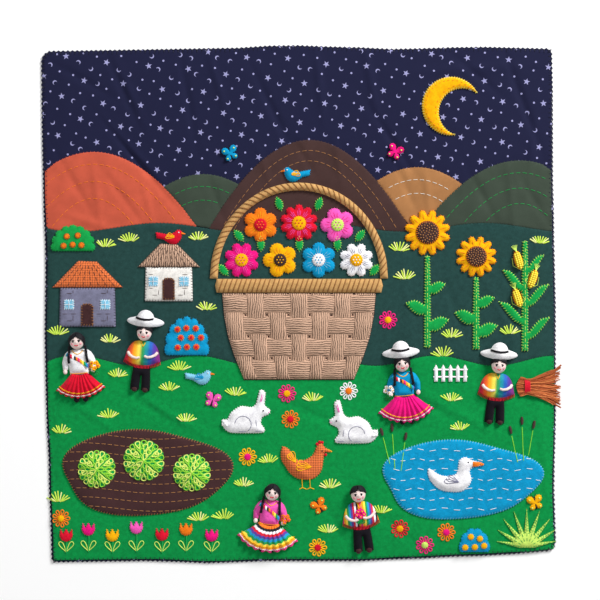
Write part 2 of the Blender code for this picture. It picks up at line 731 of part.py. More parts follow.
def build_agave():
    """Fan of pointed leaves."""
    points = [(-9, 0), (9, 0)]
    for blade in range(AGAVE_BLADES):
        angle = math.radians(12 + 156 * blade / (AGAVE_BLADES - 1))
        reach = AGAVE_LENGTH * (0.72 + 0.28 * math.sin(angle))
        points.append((reach * math.cos(angle), reach * math.sin(angle)))
        if blade < AGAVE_BLADES - 1:
            angle += math.radians(78 / (AGAVE_BLADES - 1))
            points.append((AGAVE_LENGTH * 0.36 * math.cos(angle),
                           AGAVE_LENGTH * 0.36 * math.sin(angle)))
    finish("agave", felt(turned(points, *AGAVE_FOOT), ON_PANEL, pad=1.0, soft=0.8), "lime")


def build_animals():
    """Padded rabbits, hen and duck."""
    for name, outline, scale, x, y, mirror, cloth, layer in ANIMALS:
        grown = [(px * scale, py * scale) for px, py in spline(outline)]
        shape = turned(grown, x, y, mirror=mirror)
        finish(name, felt(shape, layer, ANIMAL_THICKNESS, ANIMAL_PAD, 1.6), cloth, seat)


def build_sheaf():
    """Sheaf of yarn locks that grow out of one tie and reach just past the cloth's edge."""
    depth, width, height = SHEAF_TIE
    x, y = SHEAF_PLACE
    bm = flat_face([(x, y - width / 2), (x + depth, y - width / 2),
                    (x + depth, y + width / 2), (x, y + width / 2)], ON_PANEL)
    raise_faces(bm, bm.faces[:], height)
    for column in range(1, LOCK_COLUMNS):
        cut(bm, (0, y - width / 2 + width * column / LOCK_COLUMNS, 0), (0, 1, 0))
    cut(bm, (0, 0, ON_PANEL + height / LOCK_LAYERS), (0, 0, 1))
    bmesh.ops.recalc_face_normals(bm, faces=bm.faces[:])
    front = [f for f in bm.faces if f.normal.x > 0.9]
    for face in sorted(front, key=lambda f: tuple(f.calc_center_median())):
        grow_lock(bm, face, y, width)
    finish("yarn_sheaf", bm, "rust_yarn", seat)


def grow_lock(bm, face, middle, width):
    """Extrude one face of the tie into a tapering lock that bends outwards."""
    centre = face.calc_center_median()
    share = (centre.y - middle) / (width / 2)
    upper = centre.z > ON_PANEL + SHEAF_TIE[2] / 2
    length = LOCK_LENGTH * (0.86 if upper else 1.0) * (1 - 0.12 * abs(share))
    for segment in range(LOCK_SEGMENTS):
        face = bmesh.ops.extrude_discrete_faces(bm, faces=[face])["faces"][0]
        angle = math.radians(LOCK_FAN * share * (0.5 + segment * 0.4))
        stride = length / LOCK_SEGMENTS
        bmesh.ops.translate(bm, vec=(stride * math.cos(angle), stride * math.sin(angle), 0),
                            verts=face.verts)
        spot = face.calc_center_median()
        taper = LOCK_TAPER * (0.9 if segment == 0 else 1.0)
        bmesh.ops.scale(bm, vec=(taper,) * 3, verts=face.verts,
                        space=Matrix.Translation(-spot))


def build_skirt(name, x, y, tilt, half_angle, radius, cloth):
    """Gathered skirt: a fan with a scalloped hem and ridges that run up to the waist."""
    steps = SKIRT_PLEATS * 2
    hem = []
    for i in range(steps + 1):
        share = i / steps
        angle = math.radians(-90 - half_angle + 2 * half_angle * share)
        reach = radius + 0.8 * math.cos(math.tau * SKIRT_PLEATS * share)
        hem.append((reach * math.cos(angle), SKIRT_APEX + reach * math.sin(angle)))
    waist = [(SKIRT_WAIST_HALF, WAIST - GAP), (-SKIRT_WAIST_HALF, WAIST - GAP)]
    bm = flat_face(hem + waist, ON_PANEL)
    for i in range(1, SKIRT_PLEATS * 2):
        angle = math.radians(-half_angle + half_angle * i / SKIRT_PLEATS)
        cut(bm, (0, SKIRT_APEX, 0), (math.cos(angle), math.sin(angle), 0))
    cut(bm, (0, SKIRT_APEX - radius * 0.66, 0), (0, 1, 0))
    top = raise_faces(bm, bm.faces[:], FELT_THICKNESS)
    for vert in {v for f in top for v in f.verts}:
        dx = vert.co.x
        dy = SKIRT_APEX - vert.co.y
        share = math.degrees(math.atan2(dx, dy)) / half_angle
        down = (math.hypot(dx, dy) - SKIRT_WAIST_RADIUS) / (radius - SKIRT_WAIST_RADIUS)
        full = 1 - abs(share) ** 4
        body = 3.6 + 2.6 * math.sin(math.pi * min(max(down, 0), 1)) - 0.8 * down
        ridge = 0.9 * (0.4 + 0.6 * down) * math.cos(math.pi * SKIRT_PLEATS * (share + 1))
        vert.co.z = ON_PANEL + FELT_THICKNESS + full * (body + ridge)
    finish_doll_piece(name, bm, x, y, tilt, cloth)


def finish_doll_piece(name, bm, x, y, tilt, cloth):
    """Scale a doll's piece, turn it about its feet and finish it in its place."""
    bmesh.ops.scale(bm, vec=(DOLL_SCALE,) * 3, verts=bm.verts[:],
                    space=Matrix.Translation((0, 0, -ON_PANEL)))
    matrix = Matrix.Translation((x, y, 0)) @ Matrix.Rotation(math.radians(tilt), 4, "Z")
    bmesh.ops.transform(bm, matrix=matrix, verts=bm.verts[:])
    finish(name, bm, cloth, seat)


def build_padded_doll_piece(name, outline, x, y, tilt, cloth):
    """Stuffed coat or trousers."""
    bm = felt(outline, ON_PANEL, DOLL_FLAT, DOLL_PAD, DOLL_SOFT)
    finish_doll_piece(name, bm, x, y, tilt, cloth)


def build_head(name, x, y, tilt):
    """Stuffed head, flattened at the back."""
    bm = bmesh.new()
    bmesh.ops.create_uvsphere(bm, u_segments=12, v_segments=8, radius=1.0)
    bmesh.ops.scale(bm, vec=HEAD_RADII, verts=bm.verts[:])
    floor = -HEAD_RADII[2] * 0.72
    for vert in bm.verts:
        vert.co.z = max(vert.co.z, floor)
    lift = ON_PANEL - floor
    bmesh.ops.translate(bm, vec=(0, HEAD_CENTRE, lift), verts=bm.verts[:])
    finish_doll_piece(name, bm, x, y, tilt, "skin")


def build_hat(name, x, y, tilt):
    """Felt hat seen from the front: a wide brim with a round crown above it."""
    brim = arc(0, HAT_FOOT + HAT_BRIM[1], *HAT_BRIM, -150, -30, 9)
    right = arc(0, HAT_FOOT + HAT_BRIM[1], *HAT_BRIM, -12, 48, 5)
    crown = arc(0, HAT_FOOT + HAT_BRIM[1] + 2, *HAT_CROWN, 18, 162, 11)
    left = arc(0, HAT_FOOT + HAT_BRIM[1], *HAT_BRIM, 132, 192, 5)
    bm = felt(brim + right + crown + left, ON_PANEL, 1.6, 2.4, 1.4)
    finish_doll_piece(name, bm, x, y, tilt, "white")


def build_dolls():
    """Stuffed dolls: head, coat, skirt or trousers, and a hat on some."""
    for number, doll in enumerate(DOLLS, 1):
        x, y, tilt, top, lower, half_angle, radius, hat, coat_cloth, lower_cloth = doll
        name = f"doll_{number}_"
        build_head(name + "head", x, y, tilt)
        build_padded_doll_piece(name + "coat", top, x, y, tilt, coat_cloth)
        if lower == "skirt":
            build_skirt(name + "skirt", x, y, tilt, half_angle, radius, lower_cloth)
        else:
            build_padded_doll_piece(name + "trousers", TROUSERS, x, y, tilt, lower_cloth)
        if hat:
            build_hat(name + "hat", x, y, tilt)


def centre_on_origin():
    """Move everything so that the middle of the whole lies on the origin."""
    pieces = [o for o in bpy.data.objects if o.type == "MESH"]
    corners = [v.co for piece in pieces for v in piece.data.vertices]
    middle_x = (min(c.x for c in corners) + max(c.x for c in corners)) / 2
    middle_y = (min(c.y for c in corners) + max(c.y for c in corners)) / 2
    for piece in pieces:
        piece.data.transform(Matrix.Translation((-middle_x, -middle_y, 0)))


def build_all():
    """Build every piece from the ground cloth up."""
    for old in list(bpy.data.objects):
        bpy.data.objects.remove(old)
    build_ground()
    build_hills()
    build_hillside_and_meadow()
    build_moon()
    build_houses()
    build_basket()
    build_flowers()
    build_sunflowers()
    build_maize()
    build_patches()
    build_agave()
    build_animals()
    build_sheaf()
    build_dolls()
    centre_on_origin()


build_all()
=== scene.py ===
"""Arpillera textile: a padded night-sky cloth with cotton panels, padded felt appliques,
embroidery, yarn and small stuffed dolls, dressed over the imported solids."""
import math
import random

import bmesh
import bpy
import numpy as np
from mathutils import Matrix, Vector, noise
from mathutils.bvhtree import BVHTree
from mathutils.kdtree import KDTree


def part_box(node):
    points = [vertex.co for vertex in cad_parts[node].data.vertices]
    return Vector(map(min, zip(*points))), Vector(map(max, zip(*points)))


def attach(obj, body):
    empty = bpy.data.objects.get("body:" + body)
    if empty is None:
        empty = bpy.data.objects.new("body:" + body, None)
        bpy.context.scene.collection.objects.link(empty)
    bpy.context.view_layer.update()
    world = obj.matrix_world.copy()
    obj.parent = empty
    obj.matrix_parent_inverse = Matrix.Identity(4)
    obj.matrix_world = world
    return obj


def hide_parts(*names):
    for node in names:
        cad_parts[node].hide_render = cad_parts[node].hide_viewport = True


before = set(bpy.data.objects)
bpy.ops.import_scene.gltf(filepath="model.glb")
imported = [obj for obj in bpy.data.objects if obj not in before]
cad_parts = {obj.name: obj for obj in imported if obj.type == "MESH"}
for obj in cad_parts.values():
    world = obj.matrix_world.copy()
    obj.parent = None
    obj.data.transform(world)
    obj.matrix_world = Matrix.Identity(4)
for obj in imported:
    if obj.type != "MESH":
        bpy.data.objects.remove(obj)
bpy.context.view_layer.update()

bl_info = {
    "name": "Arpillera Textile",
    "version": (1, 0, 0),
    "blender": (4, 5, 0),
    "location": "3D View > Sidebar > Arpillera",
    "description": "Dresses a padded cloth with felt, thread, yarn and small stuffed dolls",
    "category": "Object",
}

# The picture is laid out in millimetres about the cloth's own middle; to_frame() puts a
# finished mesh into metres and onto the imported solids.
METRES_PER_MM = 0.001

# Thicknesses and the heights of undersides over the top of the ground cloth
CLOTH_THICKNESS = 3.2
HEM_THICKNESS = 2.4
HEM_WIDTH = 30.0
# Rows of the ground cloth's mesh are fine in the sky alone, since panels cover it lower down
SKY_FOOT = 72
SKY_STEP = 3.0
PANEL_THICKNESS = 1.2
FELT_THICKNESS = 1.4
GAP = 0.3
ON_GROUND = GAP
ON_PANEL = ON_GROUND + PANEL_THICKNESS + GAP
ON_FELT = ON_PANEL + FELT_THICKNESS + GAP

# Soft folds of the padded cloth: (x, y, direction in degrees, half length, half width, rise)
FOLDS = (
    (-200, 182, -54, 55, 26, -0.8),
    (-245, 235, 20, 60, 30, 0.5),
    (-62, 235, 82, 60, 30, 0.6),
    (80, 222, 100, 70, 32, -0.6),
    (235, 168, 60, 60, 30, 0.6),
    (-150, 20, 75, 60, 34, 0.5),
    (180, 5, 95, 60, 32, -0.5),
    (-262, -140, 70, 60, 30, 0.7),
    (-20, -262, 4, 90, 28, -0.6),
    (140, -262, -8, 80, 28, 0.6),
    (262, -180, 82, 70, 28, 0.7),
    (-150, -262, 10, 80, 30, 0.5),
    (40, -160, 30, 80, 32, 0.5),
)
# Narrow creases pressed into the cloth: (x, y, direction, half length, half width, rise)
CREASES = (
    (-186, 164, -50, 58, 3.0, -2.4),
    (-196, 182, -48, 46, 3.4, 1.1),
    (-206, 250, -66, 40, 3.4, -1.6),
    (-196, 246, -66, 34, 3.6, 1.0),
    (-130, 240, -80, 44, 3.6, -1.5),
    (-96, 262, -74, 40, 3.6, 1.4),
    (-30, 226, -64, 50, 3.8, -1.7),
    (24, 258, -84, 40, 3.8, 1.4),
    (110, 190, -56, 44, 3.4, -1.7),
    (84, 262, 100, 40, 4.0, 1.3),
    (262, 236, -70, 56, 3.6, -1.9),
    (272, 176, -96, 36, 3.6, 1.2),
    (206, 270, -40, 36, 4.0, -1.2),
    (-252, 262, -30, 40, 4.0, -1.3),
    (206, 276, 4, 60, 5.5, 0.8),
    (-286, 30, 88, 60, 4.0, 0.6),
    (-262, 140, -60, 40, 3.6, -1.3),
    (-236, 130, -82, 42, 4.0, 1.2),
    (-204, 122, -54, 40, 3.6, -1.4),
    (-176, 118, -76, 30, 3.6, 1.1),
    (-96, 122, -70, 26, 3.6, -1.1),
    (-40, 160, -72, 26, 3.6, 1.1),
    (6, 172, -60, 26, 3.6, -1.2),
    (46, 166, -80, 26, 3.6, 1.2),
    (124, 140, -66, 30, 3.4, -1.4),
    (150, 132, -84, 28, 3.4, 1.3),
    (214, 128, -62, 34, 3.6, -1.3),
    (248, 126, -84, 36, 3.6, 1.2),
    (276, 120, -58, 32, 3.6, -1.2),
    (-150, 92, 4, 60, 4.0, 0.9),
    (-160, -40, 20, 50, 4.0, -1.1),
    (126, 6, -84, 40, 4.0, 1.0),
    (180, 0, -70, 44, 4.0, -1.1),
    (236, -10, -64, 44, 4.0, 1.1),
    (-244, 96, -20, 40, 4.0, 1.0),
    (-100, -240, -40, 30, 4.0, -1.3),
    (-150, -128, -30, 44, 4.2, 1.4),
    (-180, -116, -36, 40, 4.0, -1.2),
    (20, -130, -22, 50, 4.2, -1.3),
    (0, -190, -50, 36, 4.2, 1.2),
    (150, -116, -34, 36, 4.0, -1.3),
    (196, -132, -28, 40, 4.2, 1.2),
    (122, -268, -40, 36, 4.0, -1.3),
    (284, -160, -84, 60, 4.2, 1.2),
    (-240, -130, -34, 38, 4.2, 1.2),
    (40, -252, -66, 34, 4.0, -1.2),
    (-286, -190, 92, 60, 4.2, -1.1),
)
RIPPLE_RISE = 0.25
RIPPLE_X = 37.0
RIPPLE_Y = 41.0
SEAM_DEPTH = 0.55
SEAM_REACH = 4.5

# Stitches
RIM_PITCH = 5.5
RIM_SCALLOP = 2.0
RIM_STITCH = 5.2
PANEL_PITCH = 4.2
PANEL_OVERLAP = 0.4
FELT_PITCH = 3.3
THREAD = 0.32

# Cloth colours (sRGB) by the record's slot
COLOURS = {
    "night_print": "#1b1d3c", "terracotta": "#c3563f", "olive": "#3b463b", "tan": "#a57347",
    "brown": "#442f2d", "dark_green": "#244441", "green": "#078c43", "soil": "#42292a",
    "gold": "#ffb008", "wall_grey": "#77778f", "wall_white": "#e6e2dc", "corduroy": "#ba9780",
    "check_orange": "#df713a", "straw": "#c79b62", "magenta": "#e3147a", "pink": "#ee58b4",
    "blue": "#0b93c4", "sky_blue": "#7fc0dc", "white": "#f0eef4", "orange": "#f07a18",
    "red": "#d4142f", "lime": "#c8e86a", "leaf": "#149a46", "rust_yarn": "#a8552c",
    "rainbow": "#c8324b", "black": "#151319", "skin": "#f7dcd6",
}
# Night print: millimetres from a motif's middle, and the turn of its rows in radians
PRINT_COLOUR = "#9897c3"
PRINT_TURN = 0.42
STAR_TIP = 4.1
STAR_NOTCH = 1.65
CRESCENT_RADIUS = 2.6
CRESCENT_BITE = 2.15
CRESCENT_BITE_X = 1.05
DOT_RADIUS = 1.2

# Distance between threads, ribs and bars of the weaves
WEAVE_PITCH = 1.1
RIB_PITCH = 2.6
CHECK_PITCH = 2.8
RAINBOW = ("#e3147a", "#f5a318", "#ffe14a", "#1a9a4a", "#0b93c4", "#5a3a9a", "#d61a38", "#f0eef4",
           "#1b191f", "#f07a18")
SPECTRUM = ("#8e1648", "#d61a38", "#f0601c", "#f7a81c", "#f7dc50", "#2f9c50", "#14909e",
            "#1f5cb4", "#4b2f96", "#7a1f78")

# Panels: (node, slot, grid step)
PANELS = (
    ("hill_terracotta", "terracotta", 3.0), ("hill_brown", "brown", 3.0),
    ("hill_olive_right", "olive", 3.0), ("hill_olive_left", "olive", 3.0),
    ("hill_tan", "tan", 3.0), ("hillside", "dark_green", 3.5), ("meadow", "green", 3.5),
)
# Rows of long stitches that follow a hill: (node, centre x, half width, top, drops, thread slot)
HILL_ROWS = (
    ("hill_terracotta", -240, 128, 178, (14, 34, 54), "orange"),
    ("hill_brown", 12, 122, 192, (12, 24), "tan"),
    ("hill_olive_right", 258, 122, 168, (14, 32, 50), "leaf"),
    ("hill_olive_left", -112, 104, 152, (14, 30), "leaf"),
    ("hill_tan", 138, 108, 160, (14, 30), "wall_white"),
)
HILL_FOOT = 78.0

# Houses: (name, left, right, foot, eaves, ridge, roof overhang, ridge inset, wall, roof)
HOUSES = (
    ("house_1", -280, -214, -26, 20, 50, 8, 22, "wall_grey", "check_orange"),
    ("house_2", -180, -124, 4, 44, 70, 8, 18, "wall_white", "corduroy"),
)

# Flower basket
RIM_LOW = 14.0
RIM_HIGH = 30.0
BASKET_TOP_HALF = 90.0
BASKET_FOOT_HALF = 64.0
BASKET_FOOT = -88.0
BASKET_BELLY = 6.0
BASKET_ROWS = 4
BASKET_COLUMNS = 7
BAND_RISE = 1.6
HANDLE_HALF = 104.0
HANDLE_RISE = 112.0
HANDLE_WIDTH = 9.0
HANDLE_FOOT = RIM_HIGH + 0.5

# Basket flowers: (x, y, radius, petals, petal slot, heart slot, stitch slot)
FLOWERS = (
    (-67, 52, 20.5, 8, "magenta", "gold", "pink"),
    (-22, 52, 20.0, 5, "gold", "brown", "orange"),
    (23, 52, 20.5, 6, "blue", "white", "sky_blue"),
    (67, 52, 20.0, 8, "white", "gold", "wall_grey"),
    (-45, 93, 20.0, 6, "orange", "red", "gold"),
    (0, 95, 22.0, 10, "red", "gold", "pink"),
    (45, 93, 20.0, 5, "pink", "lime", "magenta"),
)
HEART_SHARE = 0.36
# Leaves between the flowers: (x, y, direction in degrees), all of one outline
BASKET_LEAVES = ((-88, 40, 130), (-44.5, 70, 90), (0.5, 70, 90), (45, 70, 90), (88, 40, 50),
                 (-23, 117, 110), (23, 117, 70), (-70, 80, 130), (71, 80, 50))
LEAF = ((-6.5, 0), (-3, -2.6), (1.5, -3.2), (5, -1.8), (8, 0), (5, 1.8), (1.5, 3.2), (-3, 2.6))

# Sunflowers: (foot x, foot y, head y, head radius)
SUNFLOWERS = ((150, -50, 84, 27), (207, -52, 56, 24))
SUN_PETALS = 12
MAIZE_X = 264.0
MAIZE_FOOT = -54.0
# Cobs: (x, y, lean in degrees)
COBS = ((255, 8, 18), (273, 30, -18), (256, 52, 16))
COB_LENGTH = 22.0
COB_WIDTH = 9.5

# Cabbages: (x, y, radius); rows of leaf loops: (radius share, loops)
CABBAGES = ((-236, -192, 22), (-181, -182, 24), (-125, -196, 22))
CABBAGE_LOOPS = ((0.2, 5), (0.42, 9), (0.62, 13), (0.8, 18))

# Reeds by the pond: (x, y, lean in degrees, length)
REEDS = ((106, -186, 14, 34), (112, -192, 4, 44), (119, -194, -8, 36),
         (268, -176, -10, 32), (262, -182, 2, 42), (255, -184, 12, 34))

# Animals: (name, slot, pad, faces left, x, y, scale)
ANIMALS = (
    ("rabbit_1", "white", 3.4, False, -60, -150, 1.3),
    ("rabbit_2", "white", 3.4, True, 62, -162, 1.3),
    ("hen", "check_orange", 3.2, False, 8, -206, 1.3),
    ("duck", "white", 3.2, False, 178, -218, 1.35),
)

# Dolls: (x, y, tilt, woman, hat, coat slot, lower slot, skirt half angle, skirt radius)
DOLLS = (
    (-254, -110, 4, True, False, "white", "red", 42, 37),
    (-186, -100, -5, False, True, "rainbow", "black", 0, 0),
    (126, -136, 5, True, True, "blue", "magenta", 46, 39),
    (228, -138, -4, False, True, "rainbow", "black", 0, 0),
    (-38, -286, -6, True, False, "pink", "sky_blue", 50, 40),
    (76, -288, 6, False, False, "rainbow", "black", 0, 0),
)
# Flowers in a doll's hand: doll number: (x, y, flower colour, heart colour)
POSIES = {1: (15.5, 30, "gold", "red"), 3: (-15.5, 30, "white", "gold"),
          5: (15.5, 30, "orange", "magenta"), 6: (0, 36, "magenta", "gold")}
DOLL_SCALE = 1.15
HEAD_RADII = (7.4, 8.4, 6.6)
HEAD_CENTRE = 58.9
HEAD_FLAT = 0.72
HAT_DROP = 3.6
HAT_LIFT = 11.0
SKIRT_APEX = 38.0
SKIRT_WAIST = 13.8
SKIRT_PLEATS = 9

# Small flowers, butterflies, bushes and grass: (x, y, ...)
TULIPS = ((-272, -292, 30, "red"), (-246, -291, 36, "magenta"), (-218, -292, 30, "gold"),
          (-190, -291, 38, "pink"), (-160, -292, 31, "red"), (-132, -291, 36, "orange"),
          (-102, -292, 30, "magenta"))
TULIP_CUP = ((-6.5, 13), (-7.6, 6), (-5, 1), (0, -1), (5, 1), (7.6, 6), (6.5, 13), (3.4, 8),
             (0, 14), (-3.4, 8))
BUTTERFLIES = ((-80, 176, 20, "blue"), (112, 178, -24, "magenta"), (24, -236, 30, "orange"),
               (-101, -112, -16, "pink"), (276, -232, 14, "gold"))
BUSHES = ((-131, -58, 26, 44, "blue", "red"), (-264, 61, 26, 32, "leaf", "orange"),
          (205, -291, 18, 30, "blue", "gold"))
# Ground flowers: (x, y, petals, heart)
DAISIES = ((-10, -134, "orange", "red"), (118, -262, "red", "gold"),
           (147, -281, "magenta", "lime"), (172, -266, "orange", "magenta"),
           (22, -284, "gold", "red"), (-14, -104, "magenta", "gold"), (58, -101, "white", "orange"),
           (104, -18, "magenta", "gold"),
           (-60, -178, "gold", "magenta"), (-278, -250, "orange", "gold"))
BIRD = ((-14, 1.5), (-7, 0), (0, -4.5), (6, -4.2), (10, 0), (11.4, 4.5), (11.6, 7.4), (9.4, 9.6),
        (6.4, 9.4), (4, 7.2), (-2, 5), (-8, 6), (-15, 7.2))
BIRD_SCALE = 1.15
# Birds: (x, y, faces left, slot, wing slot, layer)
BIRDS = ((-4, 149, True, "blue", "gold", ON_PANEL), (-150, 76, False, "red", "gold", ON_PANEL),
         (-116, -88, False, "sky_blue", "blue", ON_PANEL))
# Picket fences: (first post x, foot, posts)
FENCES = ((160, -90, 5),)
TUFTS = ((-212, -84), (-152, -100), (16, -112), (178, -112), (188, -146), (-278, -150),
         (-281, -230), (-65, -212), (-88, -250), (34, -266), (96, -243), (-36, -184),
         (-117, -252), (36, -214), (-140, -76), (-74, -106), (-132, -136),
         (-222, -132))
HILLSIDE_TUFTS = ((-282, -35), (-108, -6), (-118, 76), (124, 30), (178, -38), (281, 72),
                  (-198, 74), (117, 63), (-221, -44), (246, -34), (-226, 68), (168, -60))

# Yarn sheaf at the right edge
SHEAF_TIE = (263.0, -96.0, 7.0, 24.0)
SHEAF_LENGTH = 38.0
SHEAF_FAN = 26.0
SHEAF_STRANDS = 110

# Camera: the photo's frame is 600 pixels across 703 mm, looking straight down
FRAME_WIDTH = 703.0
CAMERA_LENS = 85.0
SENSOR_WIDTH = 36.0
CAMERA_AIM = (1.2, 5.3)
# Area lights: (name, place and size in metres, watts)
LIGHTS = (
    ("key_light", (1.9, 2.2, 1.65), 1.0, 150.0),
    ("fill_light", (-1.3, 0.2, 1.9), 1.6, 10.0),
    ("low_light", (-0.3, -1.6, 1.6), 1.5, 5.0),
)
WORLD_STRENGTH = 0.32

SEED = 7
laid_pieces = []
seams = {}


class ArpilleraSizes(bpy.types.PropertyGroup):
    """Sizes a user would change, in millimetres."""

    doll_pad: bpy.props.FloatProperty(
        name="Doll padding", description="How far a doll's stuffed coat rises",
        default=5.0, min=1.0, max=8.0)
    thread: bpy.props.FloatProperty(
        name="Thread radius", description="Radius of the sewing thread",
        default=THREAD, min=0.1, max=1.0)
    print_spacing: bpy.props.FloatProperty(
        name="Print spacing", description="Distance between the printed stars and crescents",
        default=14.8, min=8.0, max=30.0)
    grass_length: bpy.props.FloatProperty(
        name="Grass length", description="Length of the embroidered blades of grass",
        default=11.0, min=4.0, max=20.0)


class ArpilleraColours(bpy.types.PropertyGroup):
    """Colours a user would change."""

    sky: bpy.props.StringProperty(
        name="Night sky", description="Ground of the printed cotton, as sRGB hex",
        default=COLOURS["night_print"])
    figures: bpy.props.StringProperty(
        name="Printed figures", description="Stars, crescents and dots, as sRGB hex",
        default=PRINT_COLOUR)
    rim: bpy.props.StringProperty(
        name="Rim thread", description="Thread of the overcast rim, as sRGB hex",
        default="#17182f")
    grass: bpy.props.StringProperty(
        name="Grass thread", description="Thread of the grass tufts, as sRGB hex",
        default="#cbee58")


def sizes():
    """The sizes set in the scene."""
    return bpy.context.scene.arpillera_sizes


def colours():
    """The colours set in the scene."""
    return bpy.context.scene.arpillera_colours


def linear(text, lighten=1.0):
    """Turn an sRGB hex colour into linear values, lighter or darker by a factor."""
    shares = [int(text[i:i + 2], 16) / 255 for i in (1, 3, 5)]
    values = [s / 12.92 if s <= 0.04045 else ((s + 0.055) / 1.055) ** 2.4 for s in shares]
    return (*(min(v * lighten, 1.0) for v in values), 1.0)


def frame_shift():
    """Where the cloth's own middle lies in the frame, from the basket's rim."""
    low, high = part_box("basket_rim")
    return Vector(((low.x + high.x) / 2, low.y - RIM_LOW * METRES_PER_MM, 0.0))


def smooth_step(share):
    """Ease from 0 to 1."""
    share = min(max(share, 0.0), 1.0)
    return share * share * (3 - 2 * share)


def pillow(distance, soft=7.0):
    """Rounded rise from an edge to the middle of a stuffed band."""
    return math.sin(min(distance / soft, 1) * math.pi / 2)


def fold_rise(table, x, y):
    """Sum of soft ridges and troughs at a place."""
    total = 0.0
    for fold_x, fold_y, direction, half_length, half_width, rise in table:
        turn = math.radians(direction)
        dx = x - fold_x
        dy = y - fold_y
        if dx * dx + dy * dy > 9 * half_length * half_length:
            continue
        along = (dx * math.cos(turn) + dy * math.sin(turn)) / half_length
        across = (dy * math.cos(turn) - dx * math.sin(turn)) / half_width
        reach = along * along + across * across
        if reach < 9:
            total += rise * math.exp(-reach)
    return total


def seam_dip(x, y):
    """How far a sewn seam nearby draws the padded cloth down, in small puckers."""
    distance = seams["tree"].find((x, y, 0.0))[2]
    if distance > 3 * SEAM_REACH:
        return 0.0
    pucker = 0.7 + 0.5 * noise.noise((x / 5.5, y / 5.5, 0.0))
    return SEAM_DEPTH * pucker * math.exp(-(distance / SEAM_REACH) ** 2)


def cloth_top(x, y):
    """Height of the top of the ground cloth."""
    total = CLOTH_THICKNESS + RIPPLE_RISE * math.sin(x / RIPPLE_X + 1) * math.sin(y / RIPPLE_Y)
    total += fold_rise(FOLDS, x, y)
    hem = smooth_step((max(abs(x), abs(y)) - 300 + HEM_WIDTH) / HEM_WIDTH)
    total += (HEM_THICKNESS - total) * hem
    return total + fold_rise(CREASES, x, y) - seam_dip(x, y)


def without_straight_points(outline):
    """Drop the points of an outline that lie on a straight run."""
    kept = []
    count = len(outline)
    for i, point in enumerate(outline):
        before = Vector(point) - Vector(outline[i - 1])
        after = Vector(outline[(i + 1) % count]) - Vector(point)
        if before.length > 1e-4 and after.length > 1e-4 and before.angle(after) > 0.01:
            kept.append(point)
    return kept


def node_outline(node):
    """Outline of a solid's underside, anticlockwise, in the picture's millimetres."""
    shift = frame_shift()
    bm = bmesh.new()
    bm.from_mesh(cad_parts[node].data)
    bmesh.ops.remove_doubles(bm, verts=bm.verts[:], dist=1e-6)
    bm.normal_update()
    rim = [e for e in bm.edges if len(e.link_faces) == 2
           and (e.link_faces[0].normal.z < -0.7) != (e.link_faces[1].normal.z < -0.7)]
    nexts = {}
    for edge in rim:
        a, b = edge.verts
        nexts.setdefault(a, []).append(b)
        nexts.setdefault(b, []).append(a)
    start = rim[0].verts[0]
    loop = [start, nexts[start][0]]
    while loop[-1] is not start:
        a, b = nexts[loop[-1]]
        loop.append(b if a is loop[-2] else a)
    points = [((v.co.x - shift.x) / METRES_PER_MM, (v.co.y - shift.y) / METRES_PER_MM)
              for v in loop[:-1]]
    bm.free()
    if polygon_area(points) < 0:
        points.reverse()
    return without_straight_points(points)


def polygon_area(points):
    """Signed area of an outline."""
    return 0.5 * sum(a[0] * b[1] - b[0] * a[1] for a, b in zip(points, points[1:] + points[:1]))


def refined(outline, soft_turn=0.75):
    """Add a point on every side, bulging where the outline is round and straight at corners."""
    count = len(outline)
    turns = []
    for i in range(count):
        before = Vector(outline[i]) - Vector(outline[i - 1])
        after = Vector(outline[(i + 1) % count]) - Vector(outline[i])
        turns.append(before.angle(after))
    result = []
    for i in range(count):
        p0, p1, p2, p3 = (Vector(outline[(i + k) % count]) for k in (-1, 0, 1, 2))
        result.append(tuple(p1))
        middle = (p1 + p2) / 2
        longest = max((p1 - p0).length, (p3 - p2).length)
        if (turns[i] < soft_turn and turns[(i + 1) % count] < soft_turn
                and longest < 2.5 * (p2 - p1).length):
            middle = (9 * (p1 + p2) - p0 - p3) / 16
        result.append(tuple(middle))
    return result


def stations(outline, pitch, closed=True):
    """Evenly spaced stations on a line: (place, unit direction), on closed outlines all round."""
    points = [Vector(p) for p in outline]
    if closed:
        points.append(points[0])
    lengths = [(b - a).length for a, b in zip(points, points[1:])]
    total = sum(lengths)
    count = max(1, round(total / pitch))
    result = []
    side = 0
    passed = 0.0
    for i in range(count if closed else count + 1):
        place = total * i / count
        while side < len(lengths) - 1 and passed + lengths[side] < place:
            passed += lengths[side]
            side += 1
        direction = (points[side + 1] - points[side]).normalized()
        result.append((points[side] + direction * (place - passed), direction))
    return result


def inside(outline, x, y):
    """Whether a place lies inside an outline."""
    within = False
    for (ax, ay), (bx, by) in zip(outline, outline[1:] + outline[:1]):
        if (ay > y) != (by > y) and x < (bx - ax) * (y - ay) / (by - ay) + ax:
            within = not within
    return within


def edge_distances(places, outline):
    """Distance from each place to the nearest side of an outline."""
    corners = np.array(outline)
    starts = corners
    sides = np.roll(corners, -1, axis=0) - starts
    lengths = np.maximum((sides ** 2).sum(1), 1e-9)
    nearest = np.empty(len(places))
    for first in range(0, len(places), 2000):
        part = places[first:first + 2000, None, :] - starts[None]
        share = np.clip((part * sides).sum(2) / lengths, 0, 1)
        gaps = part - share[..., None] * sides
        nearest[first:first + 2000] = np.sqrt((gaps ** 2).sum(2)).min(1)
    return nearest


def height(x, y):
    """Height of the topmost cloth laid so far."""
    best = 0.0
    for low_x, high_x, low_y, high_y, tree in laid_pieces:
        if low_x <= x <= high_x and low_y <= y <= high_y:
            hit = tree.ray_cast(Vector((x, y, 60.0)), Vector((0, 0, -1)))[0]
            if hit and hit.z > best:
                best = hit.z
    return best


